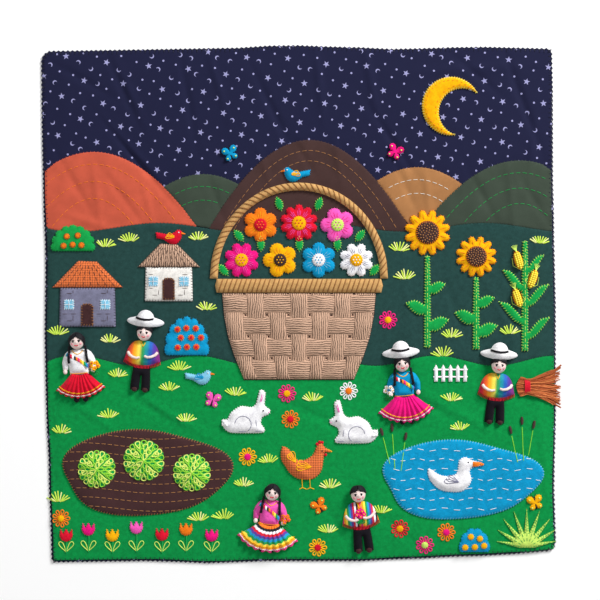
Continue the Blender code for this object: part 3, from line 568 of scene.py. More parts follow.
def remember(bm):
    """Keep a finished cloth, so that threads can be laid on it."""
    xs = [v.co.x for v in bm.verts]
    ys = [v.co.y for v in bm.verts]
    laid_pieces.append((min(xs), max(xs), min(ys), max(ys), BVHTree.FromBMesh(bm)))


def to_frame(bm):
    """Turn the picture's millimetres into the frame's metres."""
    bmesh.ops.scale(bm, vec=(METRES_PER_MM,) * 3, verts=bm.verts[:])
    bmesh.ops.translate(bm, vec=frame_shift(), verts=bm.verts[:])


def make_piece(name, bm, material, slot=None, node=None, laid=True):
    """Turn a mesh in millimetres into a piece of the object."""
    if laid:
        remember(bm)
    to_frame(bm)
    mesh = bpy.data.meshes.new(name)
    bm.to_mesh(mesh)
    bm.free()
    mesh.shade_smooth()
    mesh.materials.append(material)
    piece = bpy.data.objects.new(name, mesh)
    bpy.context.scene.collection.objects.link(piece)
    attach(piece, "root")
    if node:
        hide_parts(node)
    return piece


def cut(bm, point, normal):
    """Cut every face along a plane and keep both sides."""
    geometry = bm.verts[:] + bm.edges[:] + bm.faces[:]
    bmesh.ops.bisect_plane(bm, geom=geometry, dist=0.0005, plane_co=point, plane_no=normal)


def grown(outline, width):
    """Move an anticlockwise outline outwards."""
    result = []
    for i, (x, y) in enumerate(outline):
        side = Vector(outline[(i + 1) % len(outline)]) - Vector(outline[i - 1])
        side.normalize()
        result.append((x + side.y * width, y - side.x * width))
    return result


def felt_mesh(outline, layer, thickness, pad=0.0, soft=3.0, step=4.0, relief=None, flat=False,
              uv=None, loops=(0.45, 0.9), lift=None, rows=None):
    """Sheet of cloth on the folds below it, with a rounded rim and a padded middle."""
    bm = bmesh.new()
    middle = bm.faces.new([bm.verts.new((x, y, 0.0)) for x, y in outline])
    for width in loops:
        bmesh.ops.inset_region(bm, faces=[middle], thickness=width, depth=0.0,
                               use_even_offset=False, use_boundary=True)
    xs = [x for x, _ in outline]
    ys = [y for _, y in outline]
    for line in range(math.ceil(min(xs) / step), math.floor(max(xs) / step) + 1):
        cut(bm, (line * step, 0, 0), (1, 0, 0))
    even_rows = [line * step for line in range(math.ceil(min(ys) / step),
                                               math.floor(max(ys) / step) + 1)]
    for row in rows or even_rows:
        cut(bm, (0, row, 0), (0, 1, 0))
    if bm.faces[:][0].normal.z < 0:
        bmesh.ops.reverse_faces(bm, faces=bm.faces[:])
    lower = bm.verts[:]
    made = bmesh.ops.extrude_face_region(bm, geom=bm.faces[:])["geom"]
    upper = [g for g in made if isinstance(g, bmesh.types.BMVert)]
    distances = edge_distances(np.array([v.co.xy for v in upper]), outline)
    for vert, distance in zip(upper, distances):
        x, y = vert.co.xy
        rim = 0.45 + 0.55 * math.sqrt(1 - (1 - min(distance / 1.3, 1)) ** 2)
        dome = math.sin(min(distance / soft, 1) * math.pi / 2) if pad else 0.0
        lump = 0.12 * noise.noise((x / 9, y / 9, layer)) * min(distance, 1)
        vert.co.z = cloth_top(x, y) + layer + thickness * rim + pad * dome + lump
        if relief:
            vert.co.z += relief(x, y, distance)
    for vert in lower:
        vert.co.z = 0.0 if flat else cloth_top(*vert.co.xy) + layer
    if lift:
        for vert in bm.verts:
            vert.co.z += lift(*vert.co.xy)
    bmesh.ops.recalc_face_normals(bm, faces=bm.faces[:])
    if uv:
        layer_uv = bm.loops.layers.uv.new("cloth")
        for face in bm.faces:
            for loop in face.loops:
                loop[layer_uv].uv = (uv @ loop.vert.co).xy
    return bm


def declare_cloth(outline, pad):
    """Work out the width, the length and the area of a piece that is not padded; nothing uses them."""
    if pad > 1.0:
        return
    xs = [x for x, _ in outline]
    ys = [y for _, y in outline]
    wide = (max(xs) - min(xs)) * METRES_PER_MM
    long = (max(ys) - min(ys)) * METRES_PER_MM
    area = abs(polygon_area(outline)) * METRES_PER_MM ** 2
    area = min(max(area, 0.3 * wide * long), wide * long)


def applique(name, outline, material, slot, layer, thickness=FELT_THICKNESS, pad=0.0, soft=3.0,
             step=3.5, relief=None, node=None, stitch="same", pitch=FELT_PITCH, uv=None,
             loops=(0.45, 0.9), inward=1.7, lift=None, fine=1.0):
    """Piece of cloth sewn on along its whole outline."""
    bm = felt_mesh(outline, layer, thickness, pad, soft, step, relief, uv=uv, loops=loops,
                   lift=lift)
    piece = make_piece(name, bm, material, slot, node)
    sewing = []
    if stitch:
        colour = slot if stitch == "same" else stitch
        paths = overcast(outline, pitch, inward)
        sewing = [threads(name + "_sewing", paths, sizes().thread * fine, thread(colour))]
    declare_cloth(outline, pad)
    return piece


def overcast(outline, pitch, inward=1.7, outward=0.7, slant=0.35):
    """Small stitches over an edge, from just outside it to just inside."""
    rng = random.Random(SEED + len(outline))
    paths = []
    for place, direction in stations(outline, pitch):
        inner = Vector((-direction.y, direction.x))
        far = inward * rng.uniform(0.8, 1.15)
        start = place - inner * outward - direction * slant
        crest = place + inner * 0.25 * far
        end = place + inner * far + direction * slant * rng.uniform(0.4, 1.4)
        top = height(*(place + inner * min(0.8, far)))
        paths.append([
            (*start, height(*start) - 0.1),
            (*crest, max(height(*crest), top - 0.35) + 0.28),
            (*end, height(*end) - 0.05),
        ])
    return paths


def threads(name, paths, radius, material, slot=None, resolution=0, taper=None):
    """Lay threads along paths and join them into one mesh."""
    shift = frame_shift()
    curve = bpy.data.curves.new(name, "CURVE")
    curve.dimensions = "3D"
    curve.bevel_depth = radius * METRES_PER_MM
    curve.bevel_resolution = resolution
    curve.use_fill_caps = True
    for path in paths:
        spline = curve.splines.new("POLY")
        spline.points.add(len(path) - 1)
        for index, (point, place) in enumerate(zip(spline.points, path)):
            spot = Vector(place) * METRES_PER_MM + shift
            point.co = (*spot, 1.0)
            if taper:
                point.radius = taper(index / (len(path) - 1))
    holder = bpy.data.objects.new(name + "_curve", curve)
    bpy.context.scene.collection.objects.link(holder)
    mesh = bpy.data.meshes.new_from_object(
        holder.evaluated_get(bpy.context.evaluated_depsgraph_get()))
    bpy.data.objects.remove(holder)
    bpy.data.curves.remove(curve)
    mesh.name = name
    mesh.shade_smooth()
    mesh.materials.clear()
    mesh.materials.append(material)
    piece = bpy.data.objects.new(name, mesh)
    bpy.context.scene.collection.objects.link(piece)
    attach(piece, "root")
    return piece


def on_cloth(points, lift=0.15):
    """Put flat points on the topmost cloth."""
    return [(x, y, height(x, y) + lift) for x, y in points]


def straight_stitch(start, end, bow=0.25):
    """One straight stitch that dives into the cloth at both ends."""
    (ax, ay), (bx, by) = start, end
    middle = ((ax + bx) / 2, (ay + by) / 2)
    return [
        (ax, ay, height(ax, ay) - 0.15),
        (ax + (bx - ax) * 0.2, ay + (by - ay) * 0.2, height(ax, ay) + bow * 0.7),
        (*middle, height(*middle) + bow),
        (ax + (bx - ax) * 0.8, ay + (by - ay) * 0.8, height(bx, by) + bow * 0.7),
        (bx, by, height(bx, by) - 0.15),
    ]


def running(line, stitch=4.2, gap=2.0, within=None):
    """Running stitches along an open line, kept inside an outline if one is given."""
    paths = []
    spots = [spot for spot, _ in stations(line, (stitch + gap) / 6, closed=False)]
    stride = 6
    filled = max(1, round(stride * stitch / (stitch + gap)))
    for first in range(0, len(spots) - filled, stride):
        dash = [tuple(s) for s in spots[first:first + filled + 1]]
        if within is None or (inside(within, *dash[0]) and inside(within, *dash[-1])):
            paths.append(straight_stitch(dash[0], dash[-1]))
    return paths


def leaf_loop(x, y, degrees, length, width):
    """Lazy-daisy stitch: a loop from its root round the tip and back."""
    turn = math.radians(degrees)
    points = []
    for i in range(9):
        share = i / 8
        along = length * math.sin(math.pi * share) ** 0.8
        across = width / 2 * math.sin(math.tau * share)
        points.append((x + along * math.cos(turn) - across * math.sin(turn),
                       y + along * math.sin(turn) + across * math.cos(turn)))
    return on_cloth(points, 0.3)


def knots(name, places, radius, material, slot=None, flat=0.7):
    """French knots: small lumps of thread on the topmost cloth."""
    bm = bmesh.new()
    for x, y in places:
        matrix = Matrix.Translation((x, y, height(x, y) + radius * flat * 0.6))
        matrix = matrix @ Matrix.Diagonal((1, 1, flat, 1))
        bmesh.ops.create_icosphere(bm, subdivisions=2, radius=radius, matrix=matrix)
    return make_piece(name, bm, material, slot, laid=False)


def oval(x, y, radius_x, radius_y, count=24, degrees=0.0):
    """Oval outline."""
    turn = math.radians(degrees)
    points = []
    for i in range(count):
        angle = math.tau * i / count
        px = radius_x * math.cos(angle)
        py = radius_y * math.sin(angle)
        points.append((x + px * math.cos(turn) - py * math.sin(turn),
                       y + px * math.sin(turn) + py * math.cos(turn)))
    return points


def turned(points, x, y, degrees=0.0, mirror=False, scale=1.0):
    """Scale, mirror, turn and move points."""
    turn = math.radians(degrees)
    result = []
    for px, py in points:
        px = -px * scale if mirror else px * scale
        py = py * scale
        result.append((x + px * math.cos(turn) - py * math.sin(turn),
                       y + px * math.sin(turn) + py * math.cos(turn)))
    return result[::-1] if mirror else result


def add_node(tree, kind, inputs=(), **settings):
    """Add a shader node with its settings and its links or values, by name or in order."""
    made = tree.nodes.new("ShaderNode" + kind)
    for key, value in settings.items():
        setattr(made, key, value)
    for key, value in inputs.items() if isinstance(inputs, dict) else enumerate(inputs):
        if isinstance(value, bpy.types.Node):
            value = value.outputs[0]
        if isinstance(value, bpy.types.NodeSocket):
            tree.links.new(value, made.inputs[key])
        else:
            made.inputs[key].default_value = value
    return made


def start_material(name, roughness, specular=0.25, sheen=0.0, sheen_roughness=0.5):
    """New material with its shader's constants set: material, tree, shader, coordinates."""
    material = bpy.data.materials.new(name)
    material.use_nodes = True
    tree = material.node_tree
    shader = tree.nodes["Principled BSDF"]
    for key, value in (("Roughness", roughness), ("Specular IOR Level", specular),
                       ("Sheen Weight", sheen), ("Sheen Roughness", sheen_roughness)):
        shader.inputs[key].default_value = value
    return material, tree, shader, add_node(tree, "TexCoord").outputs["Object"]


def band_scale(millimetres):
    """Scale of a wave texture whose bands lie this far apart."""
    return math.tau / 20 / (millimetres * METRES_PER_MM)


def dye(tree, shader, factor, dark, light):
    """Colour the cloth from dark to light with a factor."""
    mixed = add_node(tree, "Mix", {0: factor, 6: dark, 7: light}, data_type="RGBA")
    tree.links.new(mixed.outputs[2], shader.inputs["Base Color"])


def emboss(tree, shader, height_map, strength, millimetres):
    """Give the cloth a fine relief."""
    bump = add_node(tree, "Bump", {"Height": height_map, "Strength": strength,
                                   "Distance": millimetres * METRES_PER_MM})
    tree.links.new(bump.outputs[0], shader.inputs["Normal"])


def weave_height(tree, place):
    """Crossed threads of a plain weave, twice as coarse as real so that they show."""
    waves = [add_node(tree, "TexWave",
                      {"Vector": place, "Scale": band_scale(WEAVE_PITCH), "Distortion": 1.5,
                       "Detail": 1.0, "Detail Scale": 1.0}, bands_direction=axis).outputs["Fac"]
             for axis in ("X", "Y")]
    return add_node(tree, "Math", waves, operation="MULTIPLY")


def felt(slot):
    """Wool felt, needled and matted: a soft matt nap with short fibres and faint mottling."""
    name = "wool_felt_" + slot
    if name in bpy.data.materials:
        return bpy.data.materials[name]
    material, tree, shader, place = start_material(name, 0.95, 0.08, 0.1, 0.45)
    # Mottling 5 mm across, and nap 1.1 mm across, coarser than real fibres so that it shows
    mottle = add_node(tree, "TexNoise", {"Vector": place, "Scale": 200.0, "Detail": 3.0,
                                         "Roughness": 0.6})
    nap = add_node(tree, "TexNoise", {"Vector": place, "Scale": 900.0, "Detail": 4.0,
                                      "Roughness": 0.7})
    both = add_node(tree, "Math", (mottle, nap), operation="ADD")
    spread = add_node(tree, "MapRange", {"Value": both, "From Min": 0.7, "From Max": 1.3})
    dye(tree, shader, spread, linear(COLOURS[slot], 0.72), linear(COLOURS[slot], 1.16))
    emboss(tree, shader, nap, 0.55, 0.4)
    return material


def cotton(slot):
    """Plain-woven dyed cotton: smoother than felt, with a fine crossed weave whose gaps get painted
    shade, and soft wear.
    """
    name = "woven_cotton_" + slot
    if name in bpy.data.materials:
        return bpy.data.materials[name]
    material, tree, shader, place = start_material(name, 0.85, 0.12, 0.05, 0.5)
    weave = weave_height(tree, place)
    wear = add_node(tree, "TexNoise", {"Vector": place, "Scale": 45.0,
                                       "Detail": 4.0, "Roughness": 0.6})
    # The weave's height darkens the colour in the gaps between the threads as painted shade; the wear
    # noise varies it at random
    both = add_node(tree, "Math", (weave, 0.35, wear), operation="MULTIPLY_ADD")
    spread = add_node(tree, "MapRange", {"Value": both, "From Min": 0.4, "From Max": 0.9})
    dye(tree, shader, spread, linear(COLOURS[slot], 0.86), linear(COLOURS[slot], 1.12))
    emboss(tree, shader, weave, 0.35, 0.2)
    return material


def print_cells(tree, place):
    """Places in the print's repeat: the way from a motif's middle, its chances and its kind."""
    scale = 1 / (sizes().print_spacing * METRES_PER_MM)
    laid = add_node(tree, "VectorRotate", {"Vector": place, "Angle": PRINT_TURN},
                    rotation_type="Z_AXIS")
    cells = add_node(tree, "TexVoronoi", {"Vector": laid, "Scale": scale, "Randomness": 0.35},
                     voronoi_dimensions="2D")
    middle = cells.outputs["Position"]
    offset = add_node(tree, "VectorMath", (laid, middle), operation="SUBTRACT")
    chance = add_node(tree, "SeparateColor", {"Color": cells.outputs["Color"]})
    # Every fifth cell along a row holds a star, and each row starts two cells further on
    scaled = add_node(tree, "VectorMath", {0: middle, "Scale": scale}, operation="SCALE")
    cell = add_node(tree, "VectorMath", (scaled,), operation="FLOOR")
    counted = add_node(tree, "SeparateXYZ", {"Vector": cell})
    row = add_node(tree, "Math", (counted.outputs[1], 2.0, counted.outputs[0]),
                   operation="MULTIPLY_ADD")
    step = add_node(tree, "Math", (row, 5.0), operation="FLOORED_MODULO")
    kind = add_node(tree, "Math", (step, chance.outputs[1]), operation="ADD")
    return offset, chance, kind


def print_figures(tree, x, y):
    """Where the star, the crescent and the dot of the print lie about their middle."""
    bite_x = add_node(tree, "Math", (x, CRESCENT_BITE_X * METRES_PER_MM), operation="SUBTRACT")
    squares = [add_node(tree, "Math", (value, value), operation="MULTIPLY")
               for value in (x, y, bite_x)]
    reaches = []
    for square in (squares[0], squares[2]):
        both = add_node(tree, "Math", (square, squares[1]), operation="ADD")
        reaches.append(add_node(tree, "Math", (both,), operation="SQRT"))
    radius, bite = reaches
    # The star's straight edges run from tips to notches
    tip, notch, wedge = STAR_TIP * METRES_PER_MM, STAR_NOTCH * METRES_PER_MM, math.pi / 5
    angle = add_node(tree, "Math", (y, x), operation="ARCTAN2")
    whole = add_node(tree, "Math", (angle, math.tau), operation="ADD")
    point = add_node(tree, "Math", (whole, wedge), operation="PINGPONG")
    sine = add_node(tree, "Math", (point,), operation="SINE")
    from_tip = add_node(tree, "Math", (sine, tip), operation="MULTIPLY")
    left = add_node(tree, "Math", (wedge, point), operation="SUBTRACT")
    rest = add_node(tree, "Math", (left,), operation="SINE")
    edge = add_node(tree, "Math", (rest, notch, from_tip), operation="MULTIPLY_ADD")
    reach = add_node(tree, "Math", (tip * notch * math.sin(wedge), edge), operation="DIVIDE")
    star = add_node(tree, "Math", (radius, reach), operation="LESS_THAN")
    disc = add_node(tree, "Math", (radius, CRESCENT_RADIUS * METRES_PER_MM),
                    operation="LESS_THAN")
    bitten = add_node(tree, "Math", (bite, CRESCENT_BITE * METRES_PER_MM),
                      operation="GREATER_THAN")
    crescent = add_node(tree, "Math", (disc, bitten), operation="MULTIPLY")
    dot = add_node(tree, "Math", (radius, DOT_RADIUS * METRES_PER_MM), operation="LESS_THAN")
    return star, crescent, dot


def night_print():
    """Printed cotton: navy ground, a repeat of small lavender stars, crescents and dots."""
    material, tree, shader, place = start_material("printed_cotton_night", 0.82, 0.12, 0.05, 0.5)
    offset, chance, kind = print_cells(tree, place)
    any_turn = add_node(tree, "Math", (chance.outputs[0], math.tau), operation="MULTIPLY")
    quarter = add_node(tree, "Math", (any_turn, math.pi / 2), operation="SNAP")
    turn = add_node(tree, "Math", (chance.outputs[2], 0.7, quarter), operation="MULTIPLY_ADD")
    local = add_node(tree, "VectorRotate", {"Vector": offset, "Angle": turn},
                     rotation_type="Z_AXIS")
    split = add_node(tree, "SeparateXYZ", {"Vector": local})
    star, crescent, dot = print_figures(tree, split.outputs[0], split.outputs[1])
    is_star = add_node(tree, "Math", (kind, 1.0), operation="LESS_THAN")
    is_dot = add_node(tree, "Math", (kind, 2.7), operation="GREATER_THAN")
    not_star = add_node(tree, "Math", (1.0, is_star), operation="SUBTRACT")
    is_crescent = add_node(tree, "Math", (not_star, is_dot), operation="SUBTRACT")
    stars = add_node(tree, "Math", (star, is_star), operation="MULTIPLY")
    with_crescents = add_node(tree, "Math", (crescent, is_crescent, stars),
                              operation="MULTIPLY_ADD")
    figures = add_node(tree, "Math", (dot, is_dot, with_crescents), operation="MULTIPLY_ADD")
    weave = weave_height(tree, place)
    # The navy ground is painted darker where the weave sinks, as shade between the threads
    ground = add_node(tree, "Mix", {0: weave, 6: linear(colours().sky, 0.8),
                                    7: linear(colours().sky, 1.15)}, data_type="RGBA")
    dye(tree, shader, figures, ground.outputs[2], linear(colours().figures))
    emboss(tree, shader, weave, 0.35, 0.2)
    return material


def thread(slot):
    """Stranded cotton thread: satiny, twisted, with a painted highlight where a strand stands proud."""
    text = slot if slot.startswith("#") else COLOURS[slot]
    name = "cotton_thread_" + slot.strip("#")
    if name in bpy.data.materials:
        return bpy.data.materials[name]
    material, tree, shader, place = start_material(name, 0.65, 0.18, 0.06, 0.4)
    strand_relief_and_highlight = add_node(tree, "TexNoise", {"Vector": place, "Scale": 1500.0,
                                          "Detail": 2.0})
    # The strands' relief also sets the colour: painted highlight on raised strands, painted shade
    # between them
    dye(tree, shader, strand_relief_and_highlight, linear(text, 0.8), linear(text, 1.3))
    emboss(tree, shader, strand_relief_and_highlight, 0.5, 0.2)
    return material


def corduroy(slot, axis="X"):
    """Corduroy: soft cut-pile ribs, worn in places, with painted shade darkening the valleys between
    them.
    """
    name = f"corduroy_{slot}_{axis}"
    if name in bpy.data.materials:
        return bpy.data.materials[name]
    material, tree, shader, place = start_material(name, 0.9, 0.08, 0.15, 0.4)
    ribs = add_node(tree, "TexWave", {"Vector": place, "Scale": band_scale(RIB_PITCH),
                                      "Distortion": 6.0, "Detail": 3.0, "Detail Scale": 0.7},
                    bands_direction=axis)
    nap = add_node(tree, "TexNoise", {"Vector": place, "Scale": 1100.0,
                                      "Detail": 3.0})
    worn = add_node(tree, "TexNoise", {"Vector": place, "Scale": 60.0,
                                       "Detail": 3.0, "Roughness": 0.7})
    rise = add_node(tree, "Math", (ribs.outputs["Fac"], 0.6), operation="MULTIPLY")
    rough = add_node(tree, "Math", (nap, 0.6, rise), operation="MULTIPLY_ADD")
    lower = add_node(tree, "Math", (rough, 0.3), operation="SUBTRACT")
    uneven = add_node(tree, "Math", (worn, 0.6, lower), operation="MULTIPLY_ADD")
    factor = add_node(tree, "MapRange", {"Value": uneven, "From Min": 0.25, "From Max": 0.75})
    # The colour follows the ribs' height, so the valleys get painted shade; the nap and the worn patches
    # vary it at random
    dye(tree, shader, factor, linear(COLOURS[slot], 0.25), linear(COLOURS[slot], 1.25))
    emboss(tree, shader, factor, 0.8, 0.6)
    return material


def check_weave(slot):
    """Loose check weave: darker and lighter threads that cross."""
    name = "check_weave_" + slot
    if name in bpy.data.materials:
        return bpy.data.materials[name]
    material, tree, shader, place = start_material(name, 0.9, 0.2, 0.2, 0.5)
    bars = []
    for axis in ("X", "Y"):
        wave = add_node(tree, "TexWave", {"Vector": place, "Scale": band_scale(CHECK_PITCH),
                                          "Distortion": 0.8, "Detail": 1.0},
                        bands_direction=axis, wave_profile="SIN")
        bars.append(add_node(tree, "Math", (wave.outputs["Fac"], 0.55),
                             operation="GREATER_THAN"))
    both = add_node(tree, "Math", bars, operation="ADD")
    cross = add_node(tree, "Math", (both, 0.5), operation="MULTIPLY")
    dye(tree, shader, cross, linear(COLOURS[slot], 0.55), linear(COLOURS[slot], 1.2))
    fuzz = add_node(tree, "TexNoise", {"Vector": place, "Scale": 1200.0,
                                       "Detail": 3.0})
    relief = add_node(tree, "Math", (fuzz, 0.5, cross), operation="MULTIPLY_ADD")
    emboss(tree, shader, relief, 0.6, 0.4)
    return material


def striped_cotton(name, stripes, width, along="x", blend=False):
    """Handwoven cotton in warp stripes, read from the piece's own UV map in millimetres."""
    if name in bpy.data.materials:
        return bpy.data.materials[name]
    material, tree, shader, place = start_material(name, 0.8, 0.25, 0.2, 0.5)
    cloth = add_node(tree, "UVMap", uv_map="cloth")
    split = add_node(tree, "SeparateXYZ", {"Vector": cloth})
    # A blended repeat starts at the left edge of the piece, a striped one in its middle
    across = add_node(tree, "Math", (split.outputs[0 if along == "x" else 1],
                                     1 / (width * len(stripes)), 10.5 if blend else 10.0),
                      operation="MULTIPLY_ADD")
    share = add_node(tree, "Math", (across,), operation="FRACT")
    ramp = add_node(tree, "ValToRGB", {"Fac": share})
    ramp.color_ramp.interpolation = "EASE" if blend else "CONSTANT"
    while len(ramp.color_ramp.elements) < len(stripes):
        ramp.color_ramp.elements.new(0.5)
    for index, (element, text) in enumerate(zip(ramp.color_ramp.elements, stripes)):
        element.position = index / len(stripes)
        element.color = linear(text)
    yarns = add_node(tree, "TexNoise", {"Vector": place, "Scale": 1300.0,
                                        "Detail": 2.0})
    shaded = add_node(tree, "Mix", {0: 0.45, 6: ramp, 7: yarns}, data_type="RGBA",
                      blend_type="OVERLAY")
    tree.links.new(shaded.outputs[2], shader.inputs["Base Color"])
    emboss(tree, shader, yarns, 0.5, 0.3)
    return material


def rouged_cotton():
    """Rubbed-on rouge: the head's own cotton with a soft pink tint."""
    name = "tinted_cotton_cheek"
    if name in bpy.data.materials:
        return bpy.data.materials[name]
    material, tree, shader, place = start_material(name, 0.95, 0.05, 0.1, 0.5)
    mottle = add_node(tree, "TexNoise", {"Vector": place, "Scale": 700.0})
    dye(tree, shader, mottle, linear("#e98e9c"), linear("#f7b6bc"))
    return material


def cloth_for(slot):
    """The cloth that a slot of the record is cut from."""
    if slot == "corduroy":
        return corduroy(slot)
    if slot == "check_orange":
        return check_weave(slot)
    return felt(slot)


class PieceOperator:
    """What the operators share."""

    bl_options = {"REGISTER"}

    def execute(self, context):
        """Build the pieces."""
        self.build()
        return {"FINISHED"}


class ARPILLERA_OT_stage(PieceOperator, bpy.types.Operator):
    """Add the camera, the soft studio light and the pale floor"""

    bl_idname = "arpillera.stage"
    bl_label = "Stage"

    def build(self):
        shift = frame_shift()
        distance = FRAME_WIDTH * METRES_PER_MM * CAMERA_LENS / SENSOR_WIDTH
        data = bpy.data.cameras.new("camera")
        data.lens = CAMERA_LENS
        data.sensor_width = SENSOR_WIDTH
        camera = bpy.data.objects.new("camera", data)
        camera.location = (CAMERA_AIM[0] * METRES_PER_MM + shift.x,
                           CAMERA_AIM[1] * METRES_PER_MM + shift.y, distance)
        bpy.context.scene.collection.objects.link(camera)
        bpy.context.scene.camera = camera
        for name, place, size, watts in LIGHTS:
            light = bpy.data.lights.new(name, "AREA")
            light.size = size
            light.energy = watts
            lamp = bpy.data.objects.new(name, light)
            lamp.location = place
            lamp.rotation_euler = (-Vector(place)).to_track_quat("-Z", "Y").to_euler()
            bpy.context.scene.collection.objects.link(lamp)
        bpy.context.scene.view_settings.view_transform = "Standard"
        world = bpy.data.worlds.new("studio")
        world.use_nodes = True
        world.node_tree.nodes["Background"].inputs[0].default_value = (1, 1, 1, 1)
        world.node_tree.nodes["Background"].inputs[1].default_value = WORLD_STRENGTH
        bpy.context.scene.world = world
        bm = bmesh.new()
        bmesh.ops.create_grid(bm, x_segments=2, y_segments=2, size=9.0)
        mesh = bpy.data.meshes.new("floor")
        bm.to_mesh(mesh)
        bm.free()
        floor = bpy.data.objects.new("floor", mesh)
        mesh.transform(Matrix.Translation((0, 0, -0.0002)))
        material, _, shader, _ = start_material("pale_floor", 0.95, 0.1)
        shader.inputs["Base Color"].default_value = (0.95, 0.95, 0.95, 1)
        mesh.materials.append(material)
        bpy.context.scene.collection.objects.link(floor)


class ARPILLERA_OT_ground(PieceOperator, bpy.types.Operator):
    """Lay the padded ground cloth with its scalloped rim"""

    bl_idname = "arpillera.ground"
    bl_label = "Ground cloth"

    def build(self):
        outline = []
        for index, (place, direction) in enumerate(stations(node_outline("ground_cloth"),
                                                            RIM_PITCH / 4)):
            inner = Vector((-direction.y, direction.x))
            depth = RIM_SCALLOP * (0.5 + 0.5 * math.cos(math.tau * index / 4))
            outline.append(tuple(place + inner * depth))

        def padded_hem(x, y, distance):
            lost = 1 - math.sin(min(distance / 3.2, 1) * math.pi / 2)
            return -0.55 * cloth_top(x, y) * lost
        rows = [*range(-297, SKY_FOOT, 12)]
        rows += [SKY_FOOT + SKY_STEP * i for i in range(int((303 - SKY_FOOT) / SKY_STEP))]
        bm = felt_mesh(outline, 0.0, 0.0, step=SKY_STEP, relief=padded_hem, flat=True,
                       loops=(0.7, 1.1, 1.6), rows=rows)
        piece = make_piece("ground_sheet", bm, night_print(), "night_print", "ground_cloth")


class ARPILLERA_OT_panels(PieceOperator, bpy.types.Operator):
    """Sew the hills, the hillside and the meadow on the ground cloth"""

    bl_idname = "arpillera.panels"
    bl_label = "Panels"

    def build(self):
        for node, slot, step in PANELS:
            outline = grown(refined(node_outline(node)), PANEL_OVERLAP)
            material = felt(slot) if slot in ("green", "dark_green") else cotton(slot)
            applique(node + "_sheet", outline, material, slot, ON_GROUND, PANEL_THICKNESS,
                     step=step, node=node, pitch=PANEL_PITCH)


class ARPILLERA_OT_rim(PieceOperator, bpy.types.Operator):
    """Overcast the rim of the cloth with dark thread"""

    bl_idname = "arpillera.rim"
    bl_label = "Overcast rim"

    def build(self):
        rng = random.Random(SEED)
        outline = node_outline("ground_cloth")
        stitches = []
        edge = []
        for place, direction in stations(outline, RIM_PITCH):
            inner = Vector((-direction.y, direction.x))
            reach = RIM_STITCH * rng.uniform(0.9, 1.1)
            end = place + inner * reach + direction * rng.uniform(-0.4, 0.4)
            half = place + inner * reach * 0.5
            near = place + inner * (RIM_SCALLOP + 0.6)
            out = place + inner * (RIM_SCALLOP - 0.5)
            under = place + inner * (RIM_SCALLOP + 1.0)
            stitches.append([
                (*end, height(*end) - 0.1),
                (*(place + inner * reach * 0.85), height(*end) + 0.25),
                (*half, height(*half) + 0.3),
                (*near, height(*near) + 0.3),
                (*out, 1.3),
                (*(out + inner * 0.7), 0.7),
                (*under, 0.7),
            ])
            edge.append((*(place + inner * (RIM_SCALLOP - 0.1)), 1.3))
            bulge = place + direction * RIM_PITCH / 2 + inner * 0.1
            edge.append((*bulge, 1.1))
        edge.append(edge[0])
        material = thread(colours().rim)
        threads("rim_stitches", stitches, sizes().thread * 2.2, material, "night_print",
                taper=lambda s: 0.45 + 0.55 * min(s / 0.55, 1))
        threads("rim_edge_thread", [edge], sizes().thread * 1.6, material, "night_print")


class ARPILLERA_OT_hill_rows(PieceOperator, bpy.types.Operator):
    """Work rows of long stitches that follow the hills"""

    bl_idname = "arpillera.hill_rows"
    bl_label = "Hill rows"

    def build(self):
        for node, centre, half, top, drops, slot in HILL_ROWS:
            outline = node_outline(node)
            paths = []
            for drop in drops:
                line = []
                for i in range(41):
                    share = i / 20 - 1
                    rise = (top - HILL_FOOT) * math.cos(share * math.pi / 2) ** 0.85
                    line.append((centre + half * share * (1 - drop / 160),
                                 HILL_FOOT + rise - drop))
                paths += running(line, 5.0, 2.6, outline)
            threads(node + "_rows", paths, sizes().thread, thread(slot), slot)


class ARPILLERA_OT_moon(PieceOperator, bpy.types.Operator):
    """Sew on the padded crescent moon"""

    bl_idname = "arpillera.moon"
    bl_label = "Moon"

    def build(self):
        outline = refined(node_outline("moon"), 0.5)
        applique("moon_felt", outline, felt("gold"), "gold", ON_GROUND, pad=1.8, soft=5.0,
                 step=2.5, node="moon", stitch="#fff07a", pitch=3.0)
        inner = [(spot + Vector((-d.y, d.x)) * 4.0) for spot, d in stations(outline, 2.0)]
        line = [tuple(p) for p in inner if inside(outline, *p)]
        paths = [straight_stitch(a, b) for a, b in zip(line[0::3], line[1::3])
                 if math.dist(a, b) < 4]
        threads("moon_line", paths, sizes().thread, thread("orange"), "orange")


